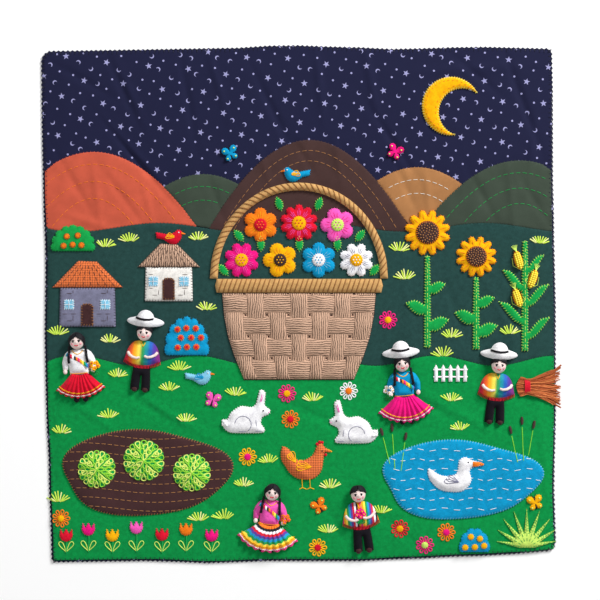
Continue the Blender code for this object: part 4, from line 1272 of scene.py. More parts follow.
class ARPILLERA_OT_houses(PieceOperator, bpy.types.Operator):
    """Sew on the houses with their doors, windows and courses of stitches"""

    bl_idname = "arpillera.houses"
    bl_label = "Houses"

    def build(self):
        for name, left, right, foot, eaves, ridge, overhang, inset, wall, roof in HOUSES:
            applique(name + "_wall_felt", node_outline(name + "_walls"), felt(wall), wall,
                     ON_PANEL, pad=1.2, soft=4.0, node=name + "_walls", stitch="black")
            applique(name + "_roof_cloth", node_outline(name + "_roof"), cloth_for(roof), roof,
                     ON_PANEL, pad=1.8, soft=4.0, node=name + "_roof", stitch="brown")
            middle = (left + right) / 2
            layer = ON_FELT + 1.0
            door = [(middle - 7, foot + 1.5), (middle + 7, foot + 1.5), (middle + 7, foot + 24),
                    (middle + 4, foot + 27), (middle - 4, foot + 27), (middle - 7, foot + 24)]
            applique(name + "_door", door, felt("soil"), "soil", layer, 0.8, stitch="tan")
            windows = []
            for side in (-1, 1):
                x = middle + side * (right - left) * 0.32
                y = (foot + eaves) / 2 + 3
                pane = [(x - 5.5, y - 5.5), (x + 5.5, y - 5.5), (x + 5.5, y + 5.5),
                        (x - 5.5, y + 5.5)]
                applique(f"{name}_window_{side + 2}", pane, felt("sky_blue"), "sky_blue", layer,
                         0.8, stitch="white", pitch=2.6)
                windows += [straight_stitch((x - 5, y), (x + 5, y)),
                            straight_stitch((x, y - 5), (x, y + 5), 0.6)]
            threads(name + "_panes", windows, sizes().thread, thread("white"), "white")
            self.courses(name, left, right, foot, eaves, middle)
            self.roof_rows(name, left, right, eaves, ridge, overhang, inset)

    def courses(self, name, left, right, foot, eaves, middle):
        """Broken lines of dark stitches like courses of brick."""
        paths = []
        for row in range(1, int((eaves - foot) // 8) + 1):
            y = foot + 8 * row - 1
            start = left + 4 + (row % 2) * 5
            while start + 6 < right - 3:
                clear = abs(start + 3 - middle) > 12
                side = abs(abs(start + 3 - middle) - (right - left) * 0.32)
                near_window = side < 9 and abs(y - (foot + eaves) / 2 - 3) < 8
                if clear and not near_window:
                    paths.append(straight_stitch((start, y), (start + 6, y)))
                    if row % 2:
                        paths.append(straight_stitch((start + 7.5, y), (start + 7.5, y + 6)))
                start += 10
        threads(name + "_courses", paths, sizes().thread * 0.8, thread("brown"), "brown")

    def roof_rows(self, name, left, right, eaves, ridge, overhang, inset):
        """Lines of stitches that run down the roof."""
        paths = []
        count = 9
        for i in range(1, count):
            share = i / count
            low = (left - overhang + (right - left + 2 * overhang) * share, eaves + 2)
            high = (left + inset + (right - left - 2 * inset) * share, ridge - 2)
            paths += running([low, high], 4.5, 2.0)
        threads(name + "_roof_rows", paths, sizes().thread, thread("brown"), "brown")


class ARPILLERA_OT_basket(PieceOperator, bpy.types.Operator):
    """Weave the basket from corduroy bands and wrap its rim and handle"""

    bl_idname = "arpillera.basket"
    bl_label = "Basket"

    def half_width(self, y):
        """Half width of the basket at height y."""
        share = (y - BASKET_FOOT) / (RIM_LOW - 0.6 - BASKET_FOOT)
        straight = BASKET_FOOT_HALF + (BASKET_TOP_HALF - BASKET_FOOT_HALF) * share
        return straight + BASKET_BELLY * math.sin(math.pi * min(max(share, 0), 1))

    def build(self):
        back = node_outline("basket")
        applique("basket_back", back, cotton("soil"), "soil", ON_PANEL, 0.4, step=8.0,
                 node="basket", stitch="brown", pitch=5.0)
        top = RIM_LOW - 1.0
        row_height = (top - BASKET_FOOT) / BASKET_ROWS
        layer = ON_PANEL + 0.5

        def column_at(x, y):
            return (x / self.half_width(y) + 1) / 2 * BASKET_COLUMNS

        for column in range(BASKET_COLUMNS):
            points = []
            for edge, order in ((0.96, range(9)), (0.04, range(8, -1, -1))):
                for i in order:
                    y = BASKET_FOOT + 1.0 + (top - BASKET_FOOT - 1.0) * i / 8
                    share = 2 * (column + edge) / BASKET_COLUMNS - 1
                    points.append((share * self.half_width(y), y))

            def up(x, y, distance, column=column):
                phase = (y - BASKET_FOOT) / row_height - 0.5 + column
                return BAND_RISE * (1.3 + math.cos(math.pi * phase)) * pillow(distance)
            applique(f"basket_band_up_{column + 1}", points, corduroy("corduroy"),
                     "corduroy", layer, 1.0, relief=up, stitch=None, soft=3.0, step=3.0)
        for row in range(BASKET_ROWS):
            low = BASKET_FOOT + row_height * (row + 0.04)
            high = BASKET_FOOT + row_height * (row + 0.96)
            points = []
            for y, order in ((low, range(25)), (high, range(24, -1, -1))):
                for i in order:
                    points.append(((i / 12 - 1) * (self.half_width(y) - 0.4), y))

            def across(x, y, distance, row=row):
                phase = column_at(x, y) - 0.5 + row + 1
                return BAND_RISE * (1.3 + math.cos(math.pi * phase)) * pillow(distance)
            applique(f"basket_band_across_{row + 1}", points, corduroy("corduroy", "Y"),
                     "corduroy", layer, 1.0, relief=across, stitch=None, soft=3.0, step=3.0)
        for node in ("basket_rim", "basket_handle"):
            outline = node_outline(node)
            if node == "basket_handle":
                outline = refined(outline, 0.6)
            applique(node + "_roll", outline, felt("straw"), "straw", ON_PANEL, pad=3.0,
                     soft=4.5, step=2.5, node=node, stitch=None, loops=(0.6, 1.2))
        self.wrap()

    def wrap(self):
        """Slanting turns of thick thread round the rim and the handle."""
        paths = []
        count = 34
        for i in range(count):
            x = -94 + 188 * (i + 0.5) / count
            line = [(x - 2.6 + 5.2 * k / 6, RIM_LOW + 0.6 + (RIM_HIGH - RIM_LOW - 1.2) * k / 6)
                    for k in range(7)]
            paths.append(on_cloth(line, 0.1))
        for i in range(46):
            angle = math.radians(2 + 176 * (i + 0.5) / 46)
            line = []
            for k in range(6):
                turn = angle + math.radians(0.9) * (k - 2.5)
                reach = 1 - (HANDLE_WIDTH - 0.8) / HANDLE_HALF * (1 - k / 5) - 0.4 / HANDLE_HALF
                line.append((HANDLE_HALF * reach * math.cos(turn),
                             HANDLE_FOOT + HANDLE_RISE * reach * math.sin(turn)))
            paths.append(on_cloth(line, 0.1))
        threads("basket_wrapping", paths, 0.75, thread("#8f6236"), "straw", resolution=1)


class ARPILLERA_OT_flowers(PieceOperator, bpy.types.Operator):
    """Sew the flowers into the basket, with hearts, knots and petal stitches"""

    bl_idname = "arpillera.flowers"
    bl_label = "Flowers"

    def build(self):
        for number, (x, y, radius, petals, slot, heart, stitch) in enumerate(FLOWERS, 1):
            node = f"flower_{number}"
            applique(node + "_petals", refined(node_outline(node), 0.6), felt(slot), slot,
                     ON_PANEL, pad=1.8, soft=4.5, step=2.5, node=node)
            hub = radius * HEART_SHARE
            applique(node + "_heart", oval(x, y, hub, hub), felt(heart), heart,
                     ON_FELT + 1.4, 1.0, pad=1.3, soft=3.5, step=2.0, pitch=2.6)
            paths = []
            for petal in range(petals):
                for turn, reach in ((-0.22, 0.68), (0, 0.8), (0.22, 0.68)):
                    angle = math.tau * (petal + 0.5 + turn) / petals
                    start = (x + hub * 1.15 * math.cos(angle), y + hub * 1.15 * math.sin(angle))
                    end = (x + radius * reach * math.cos(angle),
                           y + radius * reach * math.sin(angle))
                    paths.append(straight_stitch(start, end))
            threads(node + "_veins", paths, sizes().thread * 0.8, thread(stitch), stitch)
            dots = [(x, y)] + [(x + hub * 0.5 * math.cos(math.tau * i / 6),
                                y + hub * 0.5 * math.sin(math.tau * i / 6)) for i in range(6)]
            knots(node + "_knots", dots, 0.8, thread(slot), slot)
        self.leaves()

    def leaves(self):
        """Green felt leaves that fill the gaps between the flowers."""
        for number, (x, y, degrees) in enumerate(BASKET_LEAVES, 1):
            outline = turned(LEAF, x, y, degrees)
            applique(f"basket_leaf_{number}", grown(outline, 1.4), felt("leaf"), "leaf", ON_PANEL,
                     1.0, pad=0.6, soft=2.0, step=2.0, stitch="lime", pitch=2.8, inward=1.2,
                     fine=0.7)


class ARPILLERA_OT_tall_plants(PieceOperator, bpy.types.Operator):
    """Sew on the sunflowers and the maize"""

    bl_idname = "arpillera.tall_plants"
    bl_label = "Sunflowers and maize"

    def build(self):
        for number, (x, foot, head_y, radius) in enumerate(SUNFLOWERS, 1):
            name = f"sunflower_{number}"
            applique(name + "_stalk", refined(node_outline(name + "_stem"), 0.7), felt("leaf"),
                     "leaf", ON_PANEL, pad=1.0, soft=2.6, step=2.5, node=name + "_stem",
                     stitch="lime")
            applique(name + "_petals", refined(node_outline(name + "_head"), 0.6), felt("gold"),
                     "gold", ON_PANEL, pad=1.8, soft=4.5, step=2.5, node=name + "_head",
                     stitch="orange", pitch=3.0)
            hub = radius * 0.5
            applique(name + "_heart", oval(x, head_y, hub, hub, 32), felt("brown"), "brown",
                     ON_FELT + 1.4, 1.0, pad=1.8, soft=5.0, step=2.0, stitch="orange",
                     pitch=2.6)
            seeds = []
            for i in range(44):
                reach = hub * 0.86 * math.sqrt((i + 0.5) / 44)
                angle = i * 2.39996
                seeds.append((x + reach * math.cos(angle), head_y + reach * math.sin(angle)))
            knots(name + "_seeds", seeds, 0.75, thread("tan"), "tan")
            veins = [straight_stitch((x + hub * 1.12 * math.cos(a), head_y + hub * 1.12 * math.sin(a)),
                                     (x + radius * 0.84 * math.cos(a),
                                      head_y + radius * 0.84 * math.sin(a)))
                     for a in (math.tau * (i + 0.5) / SUN_PETALS for i in range(SUN_PETALS))]
            rows = running([(x, foot + 3), (x, head_y - radius - 3)], 5.0, 2.0)
            threads(name + "_veins", veins, sizes().thread, thread("orange"), "orange")
            threads(name + "_stem_rows", rows, sizes().thread, thread("lime"), "lime")
        self.maize()

    def maize(self):
        """Maize stalk and its cobs, each with rows of knots and two husk leaves."""
        applique("maize_stalk", refined(node_outline("maize"), 0.7), felt("leaf"), "leaf",
                 ON_PANEL, pad=1.0, soft=2.6, step=2.5, node="maize", stitch="lime")
        threads("maize_rows", running([(MAIZE_X, MAIZE_FOOT + 3), (MAIZE_X, MAIZE_FOOT + 122)],
                                      5.0, 2.0), sizes().thread, thread("lime"), "lime")
        grains = []
        silk = []
        for number, (x, y, lean) in enumerate(COBS, 1):
            outline = oval(x, y, COB_WIDTH / 2, COB_LENGTH / 2, 20, lean)
            applique(f"maize_cob_{number}", outline, felt("gold"), "gold", ON_FELT, 1.2,
                     pad=2.0, soft=3.5, step=2.0, stitch="orange", pitch=2.6)
            turn = math.radians(lean)
            for row in range(-4, 5):
                for side in (-1, 0, 1):
                    if abs(row) > 3 and side:
                        continue
                    dx = side * 2.5
                    dy = row * 2.4
                    grains.append((x + dx * math.cos(turn) - dy * math.sin(turn),
                                   y + dx * math.sin(turn) + dy * math.cos(turn)))
            for k in range(-2, 3):
                angle = turn + math.pi / 2 + 0.22 * k
                root = (x - COB_LENGTH * 0.46 * math.sin(turn),
                        y + COB_LENGTH * 0.46 * math.cos(turn))
                tip = (root[0] + 8 * math.cos(angle), root[1] + 8 * math.sin(angle))
                silk.append(straight_stitch(root, tip, 0.5))
            for side in (-1, 1):
                husk = turned([(0, -12), (side * 7.5, -5), (side * 6.2, 4)][::side or 1],
                              x, y, lean)
                silk.append(on_cloth(husk, 0.5))
        knots("maize_grains", grains, 1.25, thread("#ffe04a"), "gold")
        threads("maize_silk", silk, 0.4, thread("lime"), "lime")


class ARPILLERA_OT_meadow_patches(PieceOperator, bpy.types.Operator):
    """Sew on the ploughed patch, its cabbages and the pond"""

    bl_idname = "arpillera.meadow_patches"
    bl_label = "Patch and pond"

    def build(self):
        patch = refined(node_outline("ploughed_patch"))
        applique("ploughed_patch_cloth", patch, cotton("soil"), "soil", ON_PANEL, pad=0.8,
                 soft=6.0, step=5.0, node="ploughed_patch", stitch="tan")
        pond = refined(node_outline("pond"))
        applique("pond_felt", pond, felt("blue"), "blue", ON_PANEL, pad=0.8, soft=6.0, step=5.0,
                 node="pond", stitch="sky_blue")
        furrows = []
        for row in range(-4, 5):
            line = [(-282 + 204 * i / 30, -196 + row * 10.5 + 3.2 * math.sin(i / 4.0 + 0.5))
                    for i in range(31)]
            furrows += running(line, 5.2, 2.2, patch)
        threads("furrows", furrows, sizes().thread * 1.1, thread("tan"), "tan")
        ripples = []
        for row in range(-3, 4):
            line = [(96 + 186 * i / 40, -204 + row * 11.5 + 1.6 * math.sin(i * 0.9))
                    for i in range(41)]
            ripples += running(line, 6.5, 5.0 + (row % 2) * 3, pond)
        threads("ripples", ripples, sizes().thread * 1.1, thread("white"), "white")
        self.cabbages()
        self.reeds()

    def cabbages(self):
        """Lime domes covered with leaf loops."""
        for number, (x, y, radius) in enumerate(CABBAGES, 1):
            node = f"cabbage_{number}"
            applique(node + "_dome", refined(node_outline(node), 0.7), felt("leaf"), "leaf",
                     ON_FELT, pad=3.2, soft=radius * 0.8, step=2.5, node=node)
            light = []
            pale = []
            for ring, (share, count) in enumerate(CABBAGE_LOOPS):
                for i in range(count):
                    angle = math.tau * (i + 0.5 * (ring % 2)) / count
                    root = radius * (share - 0.18)
                    loop = leaf_loop(x + root * math.cos(angle), y + root * math.sin(angle),
                                     math.degrees(angle), radius * 0.36, radius * 0.24)
                    (light if i % 2 else pale).append(loop)
            threads(node + "_leaves", light, 0.8, thread("#d6ea70"), "lime")
            threads(node + "_pale_leaves", pale, 0.8, thread("#8fd23c"), "lime")

    def reeds(self):
        """Reeds with brown heads at both ends of the pond."""
        blades = []
        heads = []
        for x, y, lean, long in REEDS:
            turn = math.radians(90 + lean)
            tip = (x + long * math.cos(turn), y + long * math.sin(turn))
            blades += running([(x, y), tip], long / 2.2, 0.1)
            heads.append([(tip[0], tip[1]), (tip[0] + 9 * math.cos(turn),
                                             tip[1] + 9 * math.sin(turn))])
        threads("reed_blades", blades, 0.5, thread("#7fd03c"), "lime")
        threads("reed_heads", [on_cloth([a, ((a[0] + b[0]) / 2, (a[1] + b[1]) / 2), b], 0.9)
                               for a, b in heads], 1.5, thread("brown"), "brown", resolution=2,
                taper=lambda s: 0.75 + 0.5 * math.sin(math.pi * s))


class ARPILLERA_OT_agave(PieceOperator, bpy.types.Operator):
    """Sew on the agave"""

    bl_idname = "arpillera.agave"
    bl_label = "Agave"

    def build(self):
        outline = node_outline("agave")
        applique("agave_blades", outline, felt("lime"), "lime", ON_PANEL, pad=0.9, soft=2.6,
                 step=2.5, node="agave", stitch="leaf", pitch=3.0, loops=(0.35,))
        middle = (266.0, -284.0)
        paths = []
        for blade in range(9):
            angle = math.radians(12 + 156 * blade / 8)
            reach = 46 * (0.72 + 0.28 * math.sin(angle)) * 0.86
            line = [(middle[0] + 8 * math.cos(angle), middle[1] + 8 * math.sin(angle)),
                    (middle[0] + reach * math.cos(angle), middle[1] + reach * math.sin(angle))]
            paths += running(line, 4.0, 1.6)
        threads("agave_rows", paths, sizes().thread, thread("leaf"), "leaf")


class ARPILLERA_OT_animals(PieceOperator, bpy.types.Operator):
    """Sew on the padded animals and work their eyes, wings and feet"""

    bl_idname = "arpillera.animals"
    bl_label = "Animals"

    def build(self):
        for name, slot, pad, mirror, x, y, scale in ANIMALS:
            layer = ON_FELT if name == "duck" else ON_PANEL
            applique(name + "_felt", refined(node_outline(name), 0.9), cloth_for(slot), slot,
                     layer, pad=pad, soft=8.0, step=2.5, node=name, pitch=3.0)

            def spot(px, py, x=x, y=y, mirror=mirror, scale=scale):
                return turned([(px, py)], x, y, mirror=mirror, scale=scale)[0]
            if name.startswith("rabbit"):
                self.rabbit(name, spot)
            if name == "hen":
                self.hen(name, spot)
            if name == "duck":
                self.duck(name, spot)

    def rabbit(self, name, spot):
        """Eye, nose, inner ear, haunch, feet and a round tail."""
        knots(name + "_eye", [spot(14.2, 20.2)], 1.0, thread("black"), "black")
        lines = [straight_stitch(spot(18.6, 18.2), spot(19.8, 19.4)),
                 straight_stitch(spot(11.3, 28), spot(13.2, 35), 0.4),
                 straight_stitch(spot(12.2, 28), spot(14.2, 34), 0.4)]
        threads(name + "_pink", lines, 0.4, thread("pink"), "pink")
        haunch = [spot(-4 + 7.5 * math.cos(math.radians(a)), 8 + 7.5 * math.sin(math.radians(a)))
                  for a in range(-60, 200, 26)]
        lines = [straight_stitch(a, b) for a, b in zip(haunch, haunch[1:])]
        lines += [straight_stitch(spot(-8, 1.6), spot(-1, 1.4)),
                  straight_stitch(spot(7, 2), spot(13, 1.8)),
                  straight_stitch(spot(7.5, 12), spot(8.5, 3))]
        threads(name + "_lines", lines, 0.34, thread("wall_grey"), "wall_grey")
        rng = random.Random(SEED)
        tuft = [spot(-20.5 + rng.uniform(-2, 2), 8.8 + rng.uniform(-2, 2)) for _ in range(14)]
        knots(name + "_tail", tuft, 1.3, thread("white"), "white")

    def hen(self, name, spot):
        """Eye, comb, beak, wing, tail lines and legs."""
        knots(name + "_eye", [spot(14.6, 27.2)], 0.9, thread("black"), "black")
        knots(name + "_comb", [spot(14.8, 34.6), spot(12.4, 35.0), spot(10.2, 33.2),
                               spot(17.8, 23.6)], 1.8, felt("red"), "red")
        lines = [straight_stitch(spot(19.5, 28.4), spot(23.5, 26.4)),
                 straight_stitch(spot(19.5, 26.2), spot(23.5, 26.2))]
        for x in (-3.5, 3.5):
            lines.append(straight_stitch(spot(x, 2.4), spot(x + 0.4, -6), 0.5))
            lines.append(straight_stitch(spot(x + 0.4, -6), spot(x + 4, -7.4)))
            lines.append(straight_stitch(spot(x + 0.4, -6), spot(x - 2.4, -7.6)))
        threads(name + "_gold", lines, 0.5, thread("gold"), "gold")
        wing = [leaf_loop(*spot(5, 13), 180 + 14 * k, 18 - abs(k), 5.4) for k in (-1.5, -0.5, 0.5)]
        wing += [leaf_loop(*spot(-9, 17), 124 + 15 * k, 13, 4.4) for k in (-1, 0, 1)]
        threads(name + "_wing", wing, 0.5, thread("gold"), "gold")

    def duck(self, name, spot):
        """Eye, orange beak and wing loops."""
        knots(name + "_eye", [spot(14.2, 25.4)], 0.9, thread("black"), "black")
        beak = [straight_stitch(spot(18.2, 23.4 + k * 0.9), spot(27.4 - abs(k) * 0.8, 23.6 + k * 0.5))
                for k in (-1.8, -1, -0.2, 0.6, 1.4, 2.2)]
        threads(name + "_beak", beak, 0.75, thread("orange"), "orange")
        tip = [spot(25.6, 23.2), spot(26.8, 23.4)]
        knots(name + "_beak_tip", tip, 1.5, thread("orange"), "orange", flat=1.3)
        wing = [leaf_loop(*spot(6, 8.4), 176 - 13 * k, 17 - 2 * k, 5) for k in range(3)]
        threads(name + "_wing", wing, 0.4, thread("wall_grey"), "wall_grey")


class ARPILLERA_OT_small_things(PieceOperator, bpy.types.Operator):
    """Sew on tulips, butterflies and bushes"""

    bl_idname = "arpillera.small_things"
    bl_label = "Tulips, butterflies and bushes"

    def build(self):
        self.tulips()
        self.butterflies()
        self.bushes()
        self.daisies()
        self.birds()
        self.fences()

    def tulips(self):
        """Cup-shaped felt flowers on stitched stems with loop leaves."""
        stems = []
        leaves = []
        for number, (x, foot, tall, slot) in enumerate(TULIPS, 1):
            stems.append(on_cloth([(x, foot + 2), (x + 0.6, foot + tall * 0.5),
                                   (x, foot + tall - 12)], 0.35))
            leaves += [leaf_loop(x, foot + 3, 90 + side * 34, 14, 5) for side in (-1, 1)]
            applique(f"tulip_{number}", turned(TULIP_CUP, x, foot + tall - 14), felt(slot), slot,
                     ON_PANEL, 1.2, pad=1.3, soft=4.0, step=2.0, pitch=2.8)
        threads("tulip_stems", stems, 0.8, thread("leaf"), "leaf", resolution=1)
        threads("tulip_leaves", leaves, 0.55, thread("lime"), "lime")

    def butterflies(self):
        """Four round wings and a thread body."""
        for number, (x, y, turn, slot) in enumerate(BUTTERFLIES, 1):
            wings = []
            for i in range(40):
                angle = math.tau * i / 40
                reach = 2.6 + 8.6 * abs(math.sin(2 * angle)) ** 0.7
                reach *= 1.0 if math.sin(angle) > 0 else 0.78
                wings.append((reach * math.cos(angle), reach * math.sin(angle)))
            layer = ON_GROUND if y > 200 else ON_PANEL
            outline = turned(wings, x, y, turn)
            applique(f"butterfly_{number}", outline, felt(slot), slot, layer, 1.0, pad=0.9,
                     soft=3.0, step=2.0, pitch=2.8, inward=1.0, fine=0.7)
            body = turned([(0, -7), (0, -2), (0, 3), (0, 7)], x, y, turn)
            feelers = [turned([(0, 6), (side * 3, 11)], x, y, turn) for side in (-1, 1)]
            threads(f"butterfly_{number}_body", [on_cloth(body, 0.6)], 0.9, thread("black"),
                    "black", resolution=1)
            threads(f"butterfly_{number}_feelers", [straight_stitch(*f) for f in feelers], 0.25,
                    thread("black"), "black")
            spots = turned([(6, 5), (-6, 5), (5, -4.6), (-5, -4.6)], x, y, turn)
            knots(f"butterfly_{number}_spots", spots, 1.0, thread("lime"), "lime")

    def daisies(self):
        """Ground flowers: a ring of loops round a padded felt heart."""
        for number, (x, y, slot, heart) in enumerate(DAISIES, 1):
            loops = [leaf_loop(x + 3.2 * math.cos(a), y + 3.2 * math.sin(a), math.degrees(a),
                               7.0, 3.6) for a in (math.tau * k / 9 for k in range(9))]
            threads(f"daisy_{number}_petals", loops, 0.8, thread(slot), slot)
            applique(f"daisy_{number}_heart", oval(x, y, 3.9, 3.9, 14), felt(heart), heart,
                     ON_PANEL, 1.2, pad=0.9, soft=2.4, step=2.0, pitch=2.4, inward=1.0, fine=0.7)

    def birds(self):
        """Small padded birds with a wing of loops and an orange beak."""
        for number, (x, y, mirror, slot, wing, layer) in enumerate(BIRDS, 1):
            name = f"bird_{number}"
            outline = refined(turned(BIRD, x, y, mirror=mirror, scale=BIRD_SCALE), 0.9)
            applique(name, outline, felt(slot), slot, layer, 1.2, pad=2.2, soft=4.5, step=2.0,
                     pitch=2.8, inward=1.1, fine=0.8)

            def spot(px, py, x=x, y=y, mirror=mirror):
                return turned([(px, py)], x, y, mirror=mirror, scale=BIRD_SCALE)[0]
            knots(name + "_eye", [spot(8.6, 7.0)], 0.8, thread("white"), "white")
            beak = [straight_stitch(spot(11.0, 6.4 + k), spot(15.0, 5.6)) for k in (-0.7, 0, 0.7)]
            threads(name + "_beak", beak, 0.55, thread("orange"), "orange")
            sweep = 180 if not mirror else 0
            side = 1 if mirror else -1
            loops = [leaf_loop(*spot(4, 2 + 0.6 * k), sweep + side * 11 * k, 10 - k, 3.4)
                     for k in range(3)]
            threads(name + "_wing", loops, 0.45, thread(wing), wing)

    def fences(self):
        """Picket fences of white felt strips on two stitched rails."""
        for number, (left, foot, posts) in enumerate(FENCES, 1):
            right = left + 8.5 * (posts - 1)
            rails = [on_cloth([(left - 3 + (right - left + 6) * k / 8, foot + level)
                               for k in range(9)], 0.7) for level in (5.5, 14.0)]
            threads(f"fence_{number}_rails", rails, 1.0, thread("white"), "white", resolution=1)
            for post in range(posts):
                x = left + 8.5 * post
                picket = [(x - 2.1, foot), (x + 2.1, foot), (x + 2.1, foot + 16),
                          (x, foot + 20), (x - 2.1, foot + 16)]
                applique(f"fence_{number}_picket_{post + 1}", picket, felt("white"), "white",
                         ON_PANEL, 1.3, pad=0.9, soft=2.0, step=3.0, stitch=None)

    def bushes(self):
        """Round-topped bushes with felt blossoms."""
        for number, (x, foot, half, tall, slot, blossom) in enumerate(BUSHES, 1):
            outline = []
            lobes = round(half / 2.8)
            for i in range(8 * lobes + 1):
                angle = math.radians(-14 + 208 * i / (8 * lobes))
                lobe = 0.9 + 0.1 * abs(math.sin(math.pi * i / 8)) ** 0.6
                outline.append((x + half * lobe * math.cos(angle),
                                foot + 7 + (tall - 7) * lobe * math.sin(angle)))
            applique(f"bush_{number}", outline, felt(slot), slot, ON_PANEL, pad=1.6, soft=6.0,
                     step=3.0, loops=(0.4, 0.8))
            rng = random.Random(SEED + number)
            places = []
            for row in range(6):
                for column in range(-4, 5):
                    spot = (x + 11.5 * (column + 0.5 * (row % 2)) + rng.uniform(-1.2, 1.2),
                            foot + 8.5 + 10.5 * row + rng.uniform(-1.2, 1.2))
                    if inside(outline, *spot) and min(math.dist(spot, p) for p in outline) > 5:
                        places.append(spot)
            for index, spot in enumerate(places, 1):
                applique(f"bush_{number}_blossom_{index}", oval(*spot, 3.5, 3.5, 12),
                         felt(blossom), blossom, ON_FELT + 1.4, 0.9, pad=0.8, soft=2.4, step=2.0,
                         stitch="brown" if blossom == "orange" else "gold", pitch=2.2, fine=0.7)


class ARPILLERA_OT_grass(PieceOperator, bpy.types.Operator):
    """Embroider tufts of grass"""

    bl_idname = "arpillera.grass"
    bl_label = "Grass tufts"

    def build(self):
        rng = random.Random(SEED)
        paths = []
        pale = []
        for x, y in TUFTS + HILLSIDE_TUFTS:
            blade = sizes().grass_length * rng.uniform(0.85, 1.1)
            lean = rng.uniform(-12, 12)
            for k in range(-4, 5):
                angle = math.radians(90 + lean - 16.5 * k + rng.uniform(-4, 4))
                reach = blade * (1 - 0.035 * abs(k)) * rng.uniform(0.85, 1.05)
                start = (x + 1.1 * k, y + rng.uniform(-0.6, 0.6))
                end = (start[0] + reach * math.cos(angle), start[1] + reach * math.sin(angle))
                (pale if rng.random() < 0.3 else paths).append(straight_stitch(start, end, 0.5))
        threads("grass_tufts_pale", pale, 0.8, thread("#eef59a"), "lime")
        threads("grass_tufts", paths, 0.8, thread(colours().grass), "lime")


class ARPILLERA_OT_sheaf(PieceOperator, bpy.types.Operator):
    """Tie the sheaf of loose yarn at the right edge"""

    bl_idname = "arpillera.sheaf"
    bl_label = "Yarn sheaf"

    def build(self):
        rng = random.Random(SEED)
        x, y, deep, wide = SHEAF_TIE
        paths = []
        for i in range(SHEAF_STRANDS):
            share = rng.uniform(-1, 1)
            long = SHEAF_LENGTH * (1.08 - 0.42 * rng.random() ** 1.6) * (1 - 0.1 * abs(share))
            level = rng.uniform(0.5, 3.6)
            swing = rng.uniform(0.4, 1.9)
            phase = rng.uniform(0, math.tau)
            path = []
            for k in range(15):
                s = k / 14
                angle = math.radians(SHEAF_FAN * share * (0.4 + 0.9 * s))
                px = x - 9 + 5 * share * share + (long + deep + 4) * s
                waist = 0.3 + 0.14 * (1 - smooth_step(s / 0.22))
                py = y + share * wide * waist + math.tan(angle) * long * s * 0.75
                py += swing * math.sin(phase + 6.5 * s) * min(1, abs(s - 0.2) * 4)
                base = cloth_top(min(px, 298), py) + ON_PANEL
                arch = math.sin(math.pi * min(s * 1.2, 1))
                path.append((px, py, base + level * (0.55 + 0.6 * arch)))
            paths.append(path)
        main = threads("yarn_sheaf_locks", paths[::2] + paths[1::4], 0.6, thread("rust_yarn"),
                       "rust_yarn", taper=lambda s: 1.0 if s < 0.8 else 1.4 - 0.5 * s)
        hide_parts("yarn_sheaf")
        threads("yarn_sheaf_light_locks", paths[3::4], 0.6, thread("#cf7a44"), "rust_yarn",
                taper=lambda s: 1.0 if s < 0.8 else 1.4 - 0.5 * s)
        bands = []
        for k in range(5):
            bx = x + 0.8 + 1.3 * k
            level = cloth_top(bx, y) + ON_PANEL
            bands.append([(bx, y - wide * 0.37, level), (bx, y - wide * 0.35, level + 2.4),
                          (bx, y - wide * 0.2, level + 4.2), (bx, y, level + 4.9),
                          (bx, y + wide * 0.2, level + 4.2), (bx, y + wide * 0.35, level + 2.4),
                          (bx, y + wide * 0.37, level)])
        threads("yarn_sheaf_tie", bands, 0.7, thread("red"), "red", resolution=1)


